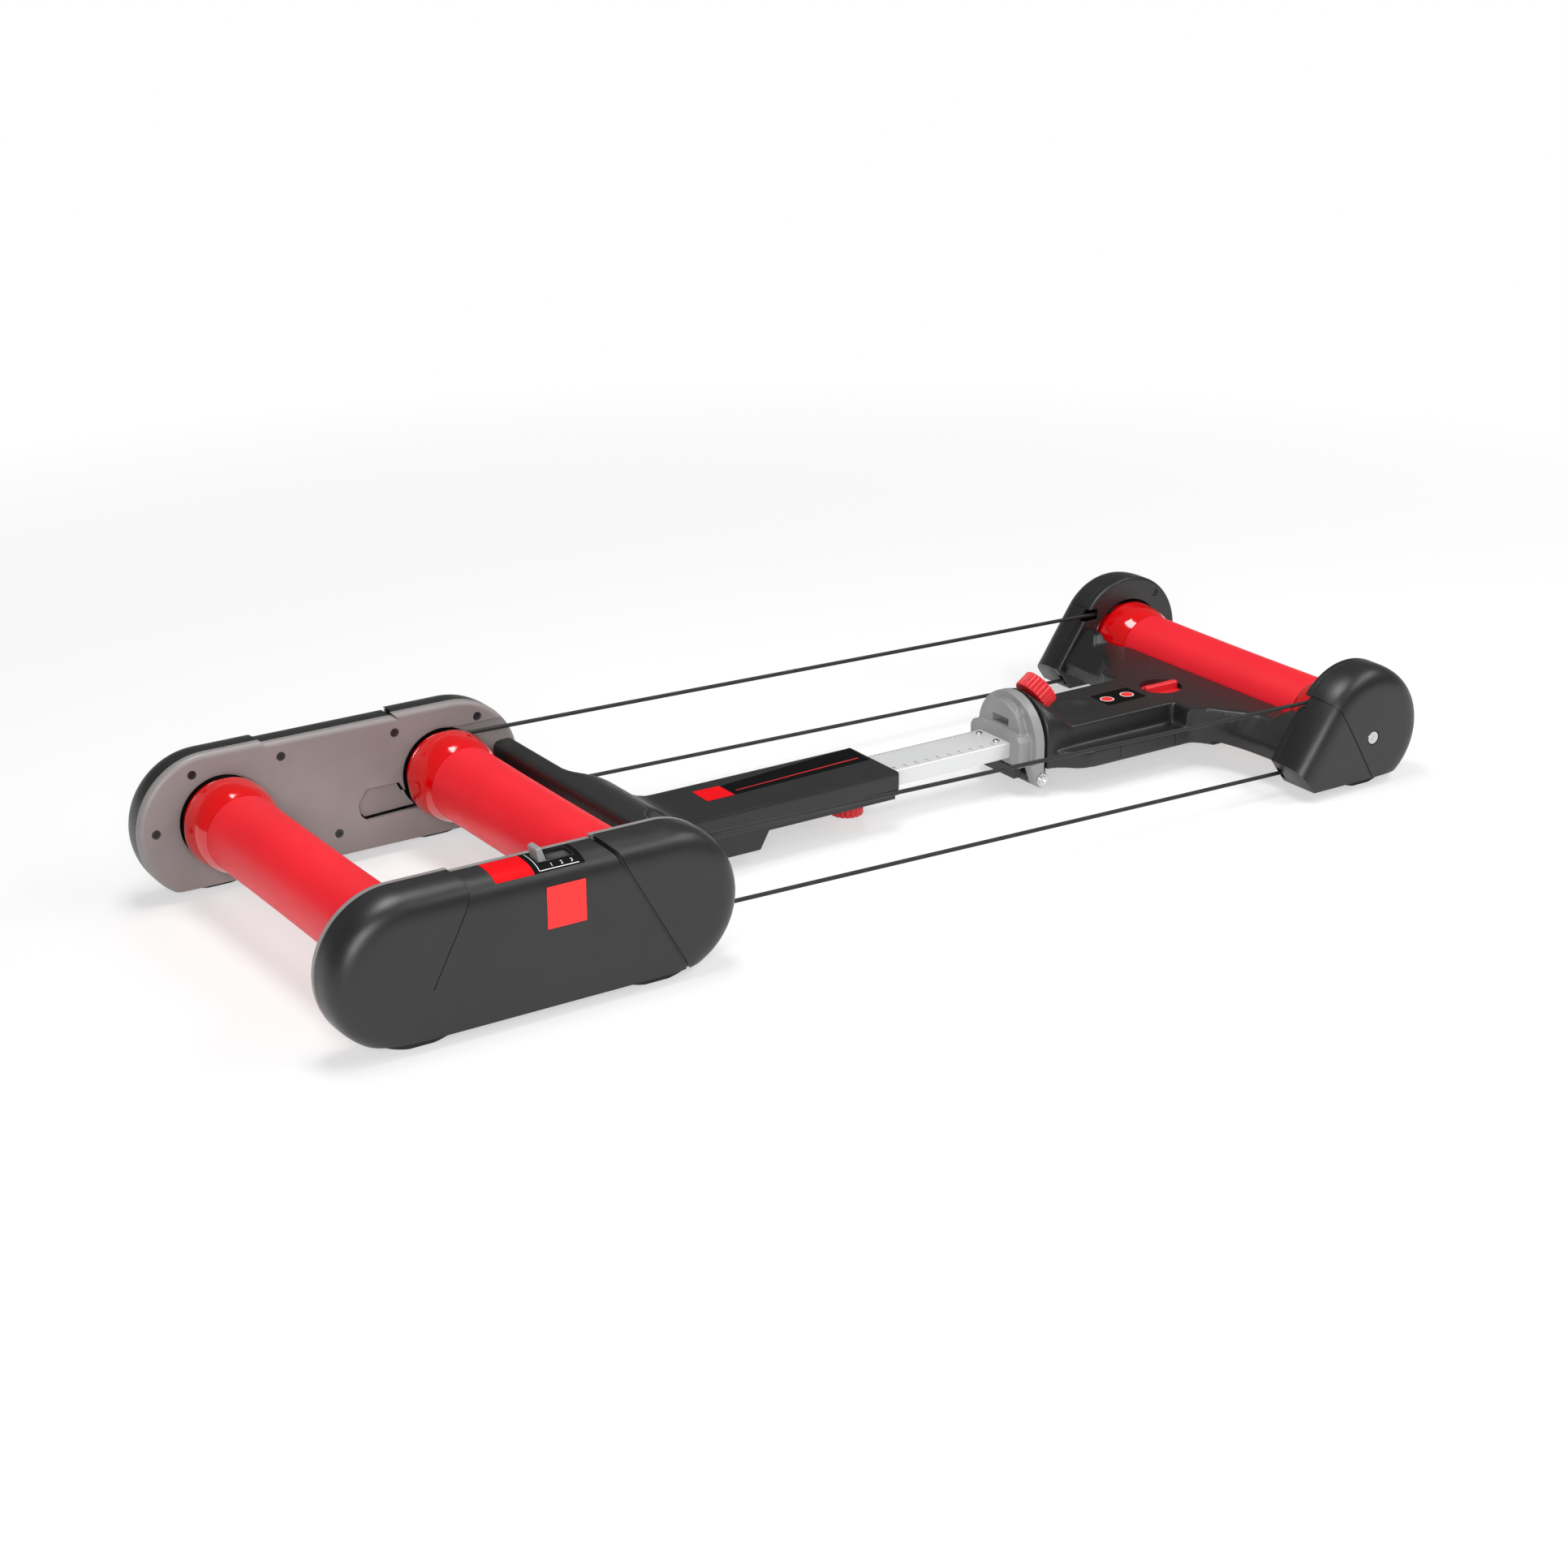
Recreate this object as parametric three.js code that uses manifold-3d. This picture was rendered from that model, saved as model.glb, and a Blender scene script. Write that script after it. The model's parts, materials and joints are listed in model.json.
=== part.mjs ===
// Bike rollers: three drums for riding a bicycle on the spot, joined by two belts.
// Millimetres, +Z up, +X towards the front drum, +Y to the left side.
// Lengths along X are counted from the rear axle, heights from the floor.
import * as THREE from "three";
import { mergeVertices } from "three/addons/utils/BufferGeometryUtils.js";
import Module from "manifold-3d";

const wasm = await Module();
wasm.setup();

// Clearances
const seatGap = 0.3;
const runningGap = 1.5;
const cutOverrun = 5;
const weldGap = 0.001;
const joinLap = 1;

// Axles
const rearAxleZ = 84.5;
const frontAxleZ = 61.5;
const middleAxleX = 259;
const frontAxleX = 1218.4;
const axleRadius = 6;
const rearAxleInset = 7.3;
const frontAxleInset = 9.4;

// Drums
const tubeHalf = 150;
const tubeMidRadius = 41.4;
const tubeEndRadius = 42.3;
const tubeWall = 2.2;
const capPlug = 15;
const capPlugWall = 3.5;
const flangeRadius = 50.3;
const flangeY = 188;
const beltY = 199;
const beltRunRadius = 39.6;
const beltRadius = 2.3;
const grooveHalf = 2.6;
const rimRadius = 44;
const rimY = 206.5;
const hubRadius = 22;
const hubY = 210;
const bearingRadius = 13;
const bearingWidth = 8;

// Rear side housings
const rearPlateY = 205.8;
const rearFaceY = 259.3;
const rearEndRadius = 80.5;
const rearEndZ = 79;
const rearEndInset = 13;
const middleEndInset = 15;
const housingFloorZ = 12;
const plateDepth = 10;
const rearPlateWall = 5;
const plateRimWall = 4;
const plateEdge = 6;
const coverWall = 3;
const crownStart = 3;
const rearCrownDrop = 21;
const skirtDepth = 60;
const skirtAngle = THREE.MathUtils.degToRad(60);
const screwHoleRadius = 5;
const screwHoleDepth = 3;
const openingRadius = 48;
const saddleDrop = 3;
const saddleStart = 47;
const saddleEnd = 203;

// Front side housings
const frontPlateY = 193.2;
const frontFaceY = 247.4;
const frontPlateWall = 3;
const frontEndRadius = 77;
const frontEndZ = 65.5;
const frontEndInset = 1.5;
const frontCrownDrop = 20;
const frontToeX = 1131;
const frontHeelX = 1110;
const frontHeelZ = 41;
const frontScrewReach = 66;
const frontScrewAngle = THREE.MathUtils.degToRad(50);
const frontOpeningRadius = 53;
const beltSlotHalf = 7;

// Axle ends, from the outer faces
const rearAxleHalf = rearFaceY - rearAxleInset;
const frontAxleHalf = frontFaceY - frontAxleInset;

// Rockers that the part stands on
const rockerProud = 1;
const rockerWidth = 14;
const rockerInset = 16;
const rockerHubRadius = 13;
const rockerHalfAngle = THREE.MathUtils.degToRad(26);
const bossWall = 6;

// Rear beam: crossbar and neck
const crossbarStart = 322;
const crossbarEnd = 346;
const crossbarTop = 105;
const crossbarBottom = 35;
const neckEnd = 692;
const neckHalf = 48.75;
const neckTop = 69;
const neckBottom = 41;
const neckRampEnd = 430;
const neckFillet = 45;
const bellyBottom = 35;
const bellyHalf = 42;
const keelBottom = 15;
const keelStart = 457;
const keelEnd = 525;
const keelSlope = 12;

// Rail
const railHalf = 28.65;
const railBottom = 43.5;
const railTop = 62.5;
const railStart = 480;
const railWall = 2.5;
const railScrewRadius = 4;
const railScrewHead = 2.2;
const railScrewInset = 10;
const railScrewSide = 16;

// Hinge bracket between the rail and the front frame
const bracketStart = 862;
const bracketBlockEnd = 881;
const bracketFace = 893;
const bracketBlockHalf = 46.5;
const bracketBlockBottom = 36;
const bracketBlockTop = 72;
const railSocket = 14;
const domeZ = 58;
const domeRadius = 55;
const domeBottom = 31;
const shoulderRadius = 38;
const shoulderZ = 66;
const shoulderStart = 870;
const windowHalf = 15;
const windowBottom = 76;
const windowTop = 86;
const windowDepth = 12;
const pinX = 889;
const pinZ = 20;
const pinRadius = 4;
const lugRadius = 9.5;
const knuckleHalf = 40;
const knuckleReach = 9;
const boltHead = 4;
const boltHeadRadius = 7.5;
const stopLength = 10;
const stopHalf = 40;
const stopHeight = 13;

// Front beam
const beamStart = 897;
const beamBottom = 30;
const beamRim = 50;
const beamTop = 75;
const beamHalf = 78;
const beamBlockHalf = 52;
const beamWide = 945;
const flareStart = 1085;
const flareX = 1098;
const armRearX = 1120;
const armFrontX = 1163;
const armLean = 31;
const armLeanY = 122;
const beamFrontX = 1171.5;
const armStepY = 148;
const armBlockTop = 86;
const armBlockWidth = 20;
const armBlockSlope = 12;
const armBottom = 36;
const humpEnd = 937;
const dishX = 980;
const dishRadius = 28;
const dishDepth = 7;
const recessHalf = 47;
const recessTop = 64;
const recessWall = 14;

// Knobs and lever
const foldKnobX = 921;
const foldKnobZ = 105;
const foldKnobTilt = THREE.MathUtils.degToRad(35);
const foldKnobRadius = 23;
const foldKnobRidges = 24;
const foldKnobThick = 20;
const foldShaftLength = 14;
const knobShaftRadius = 4.5;
const knobRidgeDepth = 1.4;
const clampKnobX = 655;
const clampKnobRadius = 19;
const clampKnobRidges = 18;
const clampKnobBottom = 13;
const floatKnobX = 1110;
const floatRecessRadius = 25.5;
const floatRecessDepth = 8.5;
const floatKnobThick = 2.5;
const floatGripWidth = 10;
const floatGripHeight = 9.5;
const camRadius = 14;
const camOffset = 4;
const camThick = 7;
const leverX = 152;
const leverZ = 100;
const leverLean = THREE.MathUtils.degToRad(14);
const leverTabY = 229.5;
const leverTabWidth = 19;
const leverTabThick = 9;
const leverTabHeight = 20;
const leverArmWidth = 6;
const leverHubRadius = 9;
const leverPinRadius = 3;
const leverProud = 11;
const discRadius = 55;
const discThick = 3;
const discY = 217.5;
const discHubRadius = 18;
const magnetReach = 63;
const magnetSize = 15;
const magnetThick = 3;
const magnetGap = 1.2;
const carrierThick = 3.4;
const magnetInnerY = discY + discThick + magnetGap;
const magnetOuterY = magnetInnerY + magnetThick;
const carrierInnerY = magnetOuterY + seatGap;
const carrierOuterY = carrierInnerY + carrierThick;
const leverY = carrierOuterY + seatGap + leverArmWidth / 2;

// Colours and finishes
const paint = {
  black: { color: 0x1d1d1f, roughness: 0.55, metalness: 0 },
  plate: { color: 0x776d6b, roughness: 0.45, metalness: 0 },
  grey: { color: 0x97989a, roughness: 0.5, metalness: 0 },
  drum: { color: 0xf43a4c, roughness: 0.6, metalness: 0 },
  gloss: { color: 0xdf1016, roughness: 0.25, metalness: 0 },
  knob: { color: 0xe03236, roughness: 0.5, metalness: 0 },
  rubber: { color: 0x29292b, roughness: 0.8, metalness: 0 },
  alloy: { color: 0xe2e3e6, roughness: 0.35, metalness: 0.9 },
  steel: { color: 0xb9bbbe, roughness: 0.3, metalness: 1 },
};

// Solids from closed geometry, and back again

function solid(geometry) {
  const bare = geometry.index ? geometry.toNonIndexed() : geometry.clone();
  bare.deleteAttribute("normal");
  bare.deleteAttribute("uv");
  const merged = mergeVertices(bare, weldGap);
  const corners = merged.index.array;
  const kept = [];
  for (let i = 0; i < corners.length; i += 3) {
    const [a, b, c] = [corners[i], corners[i + 1], corners[i + 2]];
    if (a !== b && b !== c && c !== a) kept.push(a, b, c);
  }
  const mesh = new wasm.Mesh({
    numProp: 3,
    vertProperties: merged.attributes.position.array,
    triVerts: new Uint32Array(kept),
  });
  return new wasm.Manifold(mesh);
}

function geometryOf(body) {
  const mesh = body.getMesh();
  const geometry = new THREE.BufferGeometry();
  geometry.setAttribute("position", new THREE.BufferAttribute(mesh.vertProperties, 3));
  geometry.setIndex(new THREE.BufferAttribute(mesh.triVerts, 1));
  const flat = geometry.toNonIndexed();
  flat.computeVertexNormals();
  return flat;
}

function joined(...bodies) {
  return bodies.reduce((sum, body) => sum.add(body));
}

function cut(body, ...tools) {
  return tools.reduce((rest, tool) => rest.subtract(tool), body);
}

// Blocks, slabs and turned shapes

function block(x0, x1, y0, y1, z0, z1) {
  const geometry = new THREE.BoxGeometry(x1 - x0, y1 - y0, z1 - z0);
  geometry.translate((x0 + x1) / 2, (y0 + y1) / 2, (z0 + z1) / 2);
  return solid(geometry);
}

function polygon(points) {
  return new THREE.Shape(points.map(([u, v]) => new THREE.Vector2(u, v)));
}

// A shape drawn in X and Z, from one Y to another
function slabY(shape, y0, y1, curveSegments = 12) {
  const options = { depth: y1 - y0, bevelEnabled: false, curveSegments };
  const geometry = new THREE.ExtrudeGeometry(shape, options);
  geometry.rotateX(Math.PI / 2);
  geometry.translate(0, y1, 0);
  return solid(geometry);
}

// A shape drawn in X and Y, from one Z to another
function slabZ(shape, z0, z1, curveSegments = 12) {
  const options = { depth: z1 - z0, bevelEnabled: false, curveSegments };
  const geometry = new THREE.ExtrudeGeometry(shape, options);
  geometry.translate(0, 0, z0);
  return solid(geometry);
}

// A shape drawn in Y and Z, from one X to another
function slabX(shape, x0, x1, curveSegments = 12) {
  const options = { depth: x1 - x0, bevelEnabled: false, curveSegments };
  const geometry = new THREE.ExtrudeGeometry(shape, options);
  geometry.rotateX(Math.PI / 2);
  geometry.rotateZ(Math.PI / 2);
  geometry.translate(x0, 0, 0);
  return solid(geometry);
}

// A slab drawn in X and Z, flat at backY; its edge falls by drop over the last stretch to faceY
function roundedSlab(shape, backY, faceY, edge, inset, steps, drop = edge) {
  const depth = Math.abs(faceY - backY);
  const options = {
    depth: 2 * (depth - edge),
    bevelThickness: edge,
    bevelSize: drop,
    bevelOffset: -drop - inset,
    bevelSegments: steps,
  };
  const geometry = new THREE.ExtrudeGeometry(shape, options);
  geometry.rotateX(Math.PI / 2);
  const towards = Math.sign(faceY - backY);
  geometry.translate(0, backY + depth - edge, 0);
  const whole = solid(geometry);
  const reach = 2 * frontAxleX;
  const near = towards > 0 ? backY : backY - 2 * depth;
  const far = towards > 0 ? backY + 2 * depth : backY;
  return whole.intersect(block(-reach, reach, near, far, -reach, reach));
}

function rod(radius, y0, y1, x, z, sides = 24) {
  const geometry = new THREE.CylinderGeometry(radius, radius, y1 - y0, sides);
  geometry.translate(x, (y0 + y1) / 2, z);
  return solid(geometry);
}

function post(radius, z0, z1, x, y, sides = 24) {
  const geometry = new THREE.CylinderGeometry(radius, radius, z1 - z0, sides);
  geometry.rotateX(Math.PI / 2);
  geometry.translate(x, y, (z0 + z1) / 2);
  return solid(geometry);
}

// A profile of [radius, y] points turned about the Y axis
function turned(points, sides) {
  const profile = points.map(([radius, y]) => new THREE.Vector2(radius, y));
  profile.push(profile[0].clone());
  return solid(new THREE.LatheGeometry(profile, sides));
}

// A closed skin through rings of points, with a flat face at each end
function loft(rings) {
  const positions = [];
  const corner = (point) => positions.push(point.x, point.y, point.z);
  const triangle = (a, b, c) => [a, b, c].forEach(corner);
  const count = rings[0].length;
  for (let i = 0; i + 1 < rings.length; i += 1) {
    for (let j = 0; j < count; j += 1) {
      const next = (j + 1) % count;
      triangle(rings[i][j], rings[i][next], rings[i + 1][next]);
      triangle(rings[i][j], rings[i + 1][next], rings[i + 1][j]);
    }
  }
  const last = rings.length - 1;
  for (let j = 1; j + 1 < count; j += 1) {
    triangle(rings[0][0], rings[0][j + 1], rings[0][j]);
    triangle(rings[last][0], rings[last][j], rings[last][j + 1]);
  }
  const geometry = new THREE.BufferGeometry();
  geometry.setAttribute("position", new THREE.Float32BufferAttribute(positions, 3));
  return solid(geometry);
}

// A round knob with ridges on its rim, drawn about Z
function ridgedKnob(radius, thick, ridges) {
  const stepsPerRidge = 4;
  const outline = [];
  for (let i = 0; i < ridges * stepsPerRidge; i += 1) {
    const angle = (2 * Math.PI * i) / (ridges * stepsPerRidge);
    const inRidge = i % stepsPerRidge < stepsPerRidge / 2;
    const reach = inRidge ? radius : radius - knobRidgeDepth;
    outline.push([reach * Math.cos(angle), reach * Math.sin(angle)]);
  }
  return slabZ(polygon(outline), 0, thick);
}

// The scene graph

const root = new THREE.Group();
root.name = "bike_rollers";
const rearEndX = -rearEndInset - rearEndRadius;
const frontEndX = frontAxleX + frontEndInset + frontEndRadius;
root.position.x = -(rearEndX + frontEndX) / 2;

function piece(name, body, finish, parent = root) {
  const material = new THREE.MeshStandardMaterial(paint[finish]);
  const mesh = new THREE.Mesh(geometryOf(body), material);
  mesh.name = name;
  parent.add(mesh);
  return mesh;
}

// Each side's group; the right side is the left one mirrored
const sides = ["left", "right"].map((name) => {
  const group = new THREE.Group();
  group.scale.y = name === "left" ? 1 : -1;
  root.add(group);
  return { name, group };
});

// Outlines

function arcPoints(centreX, centreZ, radius, from, to, steps) {
  const points = [];
  for (let i = 0; i <= steps; i += 1) {
    const angle = from + ((to - from) * i) / steps;
    points.push([centreX + radius * Math.cos(angle), centreZ + radius * Math.sin(angle)]);
  }
  return points;
}

function rearOutline() {
  const quarter = Math.PI / 2;
  const frontCentre = middleAxleX + middleEndInset;
  return polygon([
    ...arcPoints(frontCentre, rearEndZ, rearEndRadius, -quarter, quarter, 16),
    ...arcPoints(-rearEndInset, rearEndZ, rearEndRadius, quarter, 3 * quarter, 16),
  ]);
}

// The rear outline with a skirt below the floor line, so that its crown leaves the bottom alone
function rearSkirtOutline() {
  const quarter = Math.PI / 2;
  const frontCentre = middleAxleX + middleEndInset;
  const skirtZ = housingFloorZ - skirtDepth;
  const arcEndZ = rearEndZ - rearEndRadius * Math.sin(skirtAngle);
  const run = rearEndRadius * Math.cos(skirtAngle) - (arcEndZ - skirtZ) * Math.tan(skirtAngle);
  return polygon([
    [frontCentre + run, skirtZ],
    ...arcPoints(frontCentre, rearEndZ, rearEndRadius, -skirtAngle, quarter, 15),
    ...arcPoints(-rearEndInset, rearEndZ, rearEndRadius, quarter, Math.PI + skirtAngle, 15),
    [-rearEndInset - run, skirtZ],
  ]);
}

const frontCentreX = frontEndX - frontEndRadius;

// The angle at which the line to the heel leaves the front housing's arc
function heelAngle() {
  const heel = new THREE.Vector2(frontHeelX - frontCentreX, frontHeelZ - frontEndZ);
  const spread = Math.acos(frontEndRadius / heel.length());
  return Math.atan2(heel.y, heel.x) + 2 * Math.PI - spread;
}

function frontOutline() {
  const floorAngle = -Math.asin((frontEndZ - housingFloorZ) / frontEndRadius);
  return polygon([
    [frontToeX, housingFloorZ],
    ...arcPoints(frontCentreX, frontEndZ, frontEndRadius, floorAngle, heelAngle(), 18),
    [frontHeelX, frontHeelZ],
  ]);
}

// The front outline carried on past the heel and the floor, so that its crown leaves both alone
function frontSkirtOutline() {
  const angle = heelAngle();
  const pastX = frontHeelX - skirtDepth * Math.sin(angle);
  const pastZ = frontHeelZ + skirtDepth * Math.cos(angle);
  const lowAngle = -1.25 * skirtAngle;
  const skirtZ = housingFloorZ - skirtDepth;
  return polygon([
    [pastX, skirtZ],
    [frontCentreX + frontEndRadius * Math.cos(lowAngle), skirtZ],
    ...arcPoints(frontCentreX, frontEndZ, frontEndRadius, lowAngle, angle, 20),
    [pastX, pastZ],
  ]);
}

// Parts of one drum, on its own axle line

function drumTube() {
  const steps = 4;
  const outer = [];
  for (let i = 0; i <= steps; i += 1) {
    const share = (2 * i) / steps - 1;
    const swell = (tubeEndRadius - tubeMidRadius) * share * share;
    outer.push([tubeMidRadius + swell, share * tubeHalf]);
  }
  const bore = tubeMidRadius - tubeWall;
  return turned([[bore, tubeHalf], [bore, -tubeHalf], ...outer], 32);
}

function drumCap() {
  const bore = tubeMidRadius - tubeWall;
  const shoulder = tubeHalf + seatGap;
  const grooveRadius = beltRunRadius - beltRadius - seatGap;
  const lipInner = beltY - 2 * grooveHalf;
  const lipOuter = beltY + 1.6 * grooveHalf;
  const seatRadius = bearingRadius + seatGap;
  const swellShares = [0.4, 0.75, 0.95, 1];
  const swell = swellShares.map((share, i) => {
    const along = (i + 1) / swellShares.length;
    const y = shoulder + along * along * (flangeY - shoulder);
    return [tubeEndRadius + share * (flangeRadius - tubeEndRadius), y];
  });
  return turned([
    [bore - seatGap - capPlugWall, tubeHalf - capPlug],
    [bore - seatGap, tubeHalf - capPlug],
    [bore - seatGap, shoulder],
    [tubeEndRadius, shoulder],
    ...swell,
    [flangeRadius - seatGap, lipInner - grooveHalf],
    [grooveRadius, beltY - grooveHalf],
    [grooveRadius, beltY + grooveHalf],
    [rimRadius, lipOuter],
    [rimRadius, rimY],
    [hubRadius, rimY],
    [hubRadius, hubY],
    [seatRadius, hubY],
    [seatRadius, hubY - bearingWidth - seatGap],
    [axleRadius + runningGap, hubY - bearingWidth - seatGap],
    [axleRadius + runningGap, hubY - bearingWidth - capPlugWall],
    [bore - seatGap - capPlugWall, hubY - bearingWidth - 2 * capPlugWall],
  ], 24);
}

function bearing() {
  const inner = axleRadius + seatGap;
  return turned([
    [inner, hubY - bearingWidth],
    [bearingRadius, hubY - bearingWidth],
    [bearingRadius, hubY],
    [inner, hubY],
  ], 16);
}

function addDrum(name, axleX, axleZ) {
  const group = new THREE.Group();
  group.position.set(axleX, 0, axleZ);
  root.add(group);
  piece(name + "_tube", drumTube(), "drum", group);
  for (const side of ["left", "right"]) {
    const half = new THREE.Group();
    half.scale.y = side === "left" ? 1 : -1;
    group.add(half);
    piece(name + "_cap_" + side, drumCap(), "gloss", half);
    piece(name + "_bearing_" + side, bearing(), "steel", half);
  }
}

addDrum("rear_drum", 0, rearAxleZ);
addDrum("middle_drum", middleAxleX, rearAxleZ);
addDrum("front_drum", frontAxleX, frontAxleZ);

piece("rear_axle", rod(axleRadius, -rearAxleHalf, rearAxleHalf, 0, rearAxleZ), "steel");
piece("middle_axle", rod(axleRadius, -rearAxleHalf, rearAxleHalf, middleAxleX, rearAxleZ), "steel");
piece("front_axle", rod(axleRadius, -frontAxleHalf, frontAxleHalf, frontAxleX, frontAxleZ), "steel");

// Brake disc on the right end of the middle drum

const discBody = turned([
  [axleRadius + runningGap, hubY + seatGap],
  [discHubRadius, hubY + seatGap],
  [discHubRadius, discY],
  [discRadius, discY],
  [discRadius, discY + discThick],
  [axleRadius + runningGap, discY + discThick],
], 36);
const discMesh = piece("brake_disc", discBody, "alloy", sides[1].group);
discMesh.position.set(middleAxleX, 0, rearAxleZ);

// Belts between the middle and front drums

function beltLoop() {
  const arcSteps = 14;
  const sectionSides = 8;
  const start = new THREE.Vector2(middleAxleX, rearAxleZ);
  const end = new THREE.Vector2(frontAxleX, frontAxleZ);
  const slope = Math.atan2(end.y - start.y, end.x - start.x);
  const stations = [];
  for (const [centre, turn] of [[end, -Math.PI / 2], [start, Math.PI / 2]]) {
    for (let i = 0; i <= arcSteps; i += 1) {
      stations.push({ centre, angle: slope + turn + (Math.PI * i) / arcSteps });
    }
  }
  const rings = stations.map(({ centre, angle }) => {
    const ring = [];
    for (let j = 0; j < sectionSides; j += 1) {
      const around = (2 * Math.PI * j) / sectionSides;
      const reach = beltRunRadius + beltRadius * Math.cos(around);
      const x = centre.x + reach * Math.cos(angle);
      const z = centre.y + reach * Math.sin(angle);
      ring.push(new THREE.Vector3(x, beltY + beltRadius * Math.sin(around), z));
    }
    return ring;
  });
  const positions = [];
  const corner = (point) => positions.push(point.x, point.y, point.z);
  rings.forEach((ring, i) => {
    const following = rings[(i + 1) % rings.length];
    for (let j = 0; j < sectionSides; j += 1) {
      const next = (j + 1) % sectionSides;
      [ring[j], ring[next], following[next]].forEach(corner);
      [ring[j], following[next], following[j]].forEach(corner);
    }
  });
  const geometry = new THREE.BufferGeometry();
  geometry.setAttribute("position", new THREE.Float32BufferAttribute(positions, 3));
  return solid(geometry);
}

for (const { name, group } of sides) piece(name + "_belt", beltLoop(), "rubber", group);

// Rear housings: inner plates

const plateScrews = [
  [-74.5, 82], [-30.5, 139], [70, 139], [203.5, 138.5], [304, 137.5], [131.5, 37.5],
];

// What a body loses above a saddle: all that rises out of the same body set lower
function saddleCut(body, margin) {
  const reach = 2 * frontAxleX;
  const zone = block(
    saddleStart - margin, saddleEnd + margin, -reach, reach, rearEndZ, rearEndZ + reach);
  return cut(zone, body.translate([0, 0, -saddleDrop]));
}

function rearPlate() {
  const back = rearPlateY + plateDepth;
  const steps = 3;
  const blank = roundedSlab(rearOutline(), back, rearPlateY, plateEdge, 0, steps);
  const body = cut(blank, saddleCut(blank, 0));
  const room = roundedSlab(
    rearOutline(), rearPlateY + rearPlateWall, back + cutOverrun, seatGap, plateRimWall, 1);
  const hollow = cut(room, saddleCut(room, plateRimWall));
  const reach = rearEndRadius + cutOverrun;
  const farX = middleAxleX + middleEndInset + reach;
  const below = block(
    -rearEndInset - reach, farX, rearPlateY - cutOverrun, back + 2 * cutOverrun,
    -reach, housingFloorZ);
  const floorWall = block(
    -rearEndInset - reach, farX, rearPlateY - cutOverrun, back + 2 * cutOverrun,
    -reach, housingFloorZ + plateRimWall);
  const openings = [0, middleAxleX].map((x) =>
    rod(openingRadius, rearPlateY - cutOverrun, back + cutOverrun, x, rearAxleZ, 36));
  const holes = plateScrews.map(([x, z]) =>
    rod(screwHoleRadius, rearPlateY - cutOverrun, rearPlateY + screwHoleDepth, x, z, 12));
  const channelZ = rearAxleZ + beltRunRadius;
  const channel = block(
    middleAxleX, farX, rearPlateY - cutOverrun, rearPlateY + screwHoleDepth,
    channelZ - beltSlotHalf, channelZ + beltSlotHalf);
  return cut(body, cut(hollow, floorWall), below, channel, ...openings, ...holes);
}

for (const { name, group } of sides) piece(name + "_rear_plate", rearPlate(), "plate", group);

// Rear housings: outer covers

function rockerSlot(axleX, axleZ, faceY) {
  const top = housingFloorZ + coverWall;
  const half = Math.sqrt((axleZ + rockerProud) ** 2 - (axleZ - top) ** 2) + runningGap;
  const outerY = faceY - rockerInset + runningGap;
  const innerY = faceY - rockerInset - rockerWidth - runningGap;
  return block(
    axleX - half, axleX + half, innerY, outerY, housingFloorZ - cutOverrun, top + cutOverrun);
}

function axleBoss(axleX, axleZ, faceY, holeEnd) {
  const rootY = faceY - coverWall;
  const bossY = faceY - rockerInset + runningGap;
  const radius = axleRadius + seatGap + bossWall;
  return {
    add: rod(radius, bossY, rootY + seatGap, axleX, axleZ),
    take: rod(axleRadius + seatGap, bossY - cutOverrun, holeEnd + seatGap, axleX, axleZ),
  };
}

// A cover's body with its crown, hollow from the back
function crownedCover(outline, floorOutline, backY, faceY, drop, steps) {
  const start = backY + crownStart;
  const shell = roundedSlab(outline, backY, faceY, faceY - start, 0, steps, drop);
  const room = roundedSlab(
    outline, backY - cutOverrun, faceY - coverWall, faceY - coverWall - start, coverWall,
    steps, drop);
  const inside = roundedSlab(
    floorOutline, backY - 2 * cutOverrun, faceY, seatGap, coverWall, 1);
  return { shell, room: room.intersect(inside) };
}

function rearCover(side) {
  const back = rearPlateY + plateDepth + seatGap;
  const reach = rearEndRadius + skirtDepth;
  const farX = middleAxleX + middleEndInset + reach;
  const nearX = -rearEndInset - reach;
  const skirt = rearSkirtOutline();
  const { shell, room } = crownedCover(skirt, skirt, back, rearFaceY, rearCrownDrop, 5);
  const floorTop = housingFloorZ + coverWall;
  const floorBand = block(nearX, farX, back - 2 * cutOverrun, rearFaceY, -reach, floorTop);
  const below = block(nearX, farX, back - cutOverrun, rearFaceY + cutOverrun, -reach, housingFloorZ);
  const topZ = rearEndZ + rearEndRadius;
  const outer = cut(shell, saddleCut(shell, 0), below);
  const hollow = cut(room, saddleCut(room, coverWall), floorBand);
  const bosses = [0, middleAxleX].map((x) => axleBoss(x, rearAxleZ, rearFaceY, rearAxleHalf));
  const slots = [0, middleAxleX].map((x) => rockerSlot(x, rearAxleZ, rearFaceY));
  let cover = cut(outer, hollow);
  cover = joined(cover, ...bosses.map((boss) => boss.add));
  cover = cut(cover, ...bosses.map((boss) => boss.take), ...slots);
  if (side === "left") return cover;
  const pinBoss = rod(
    leverPinRadius + bossWall, leverY + leverArmWidth / 2 + 2 * runningGap,
    rearFaceY - coverWall + seatGap, leverX, leverZ);
  const pinHole = rod(
    leverPinRadius + seatGap, leverY - cutOverrun, rearFaceY - coverWall, leverX, leverZ);
  const slotHalf = (topZ - saddleDrop - leverZ) * Math.tan(leverLean)
    + leverTabThick / 2 / Math.cos(leverLean) + 2 * runningGap;
  const slot = block(
    leverX - slotHalf, leverX + slotHalf,
    leverTabY - leverTabWidth / 2 - runningGap, leverTabY + leverTabWidth / 2 + runningGap,
    topZ - saddleDrop - coverWall - cutOverrun, topZ + cutOverrun);
  return cut(joined(cover, pinBoss), pinHole, slot);
}

for (const { name, group } of sides) {
  piece(name + "_rear_cover", rearCover(name), "black", group);
}

// Rockers

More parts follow.
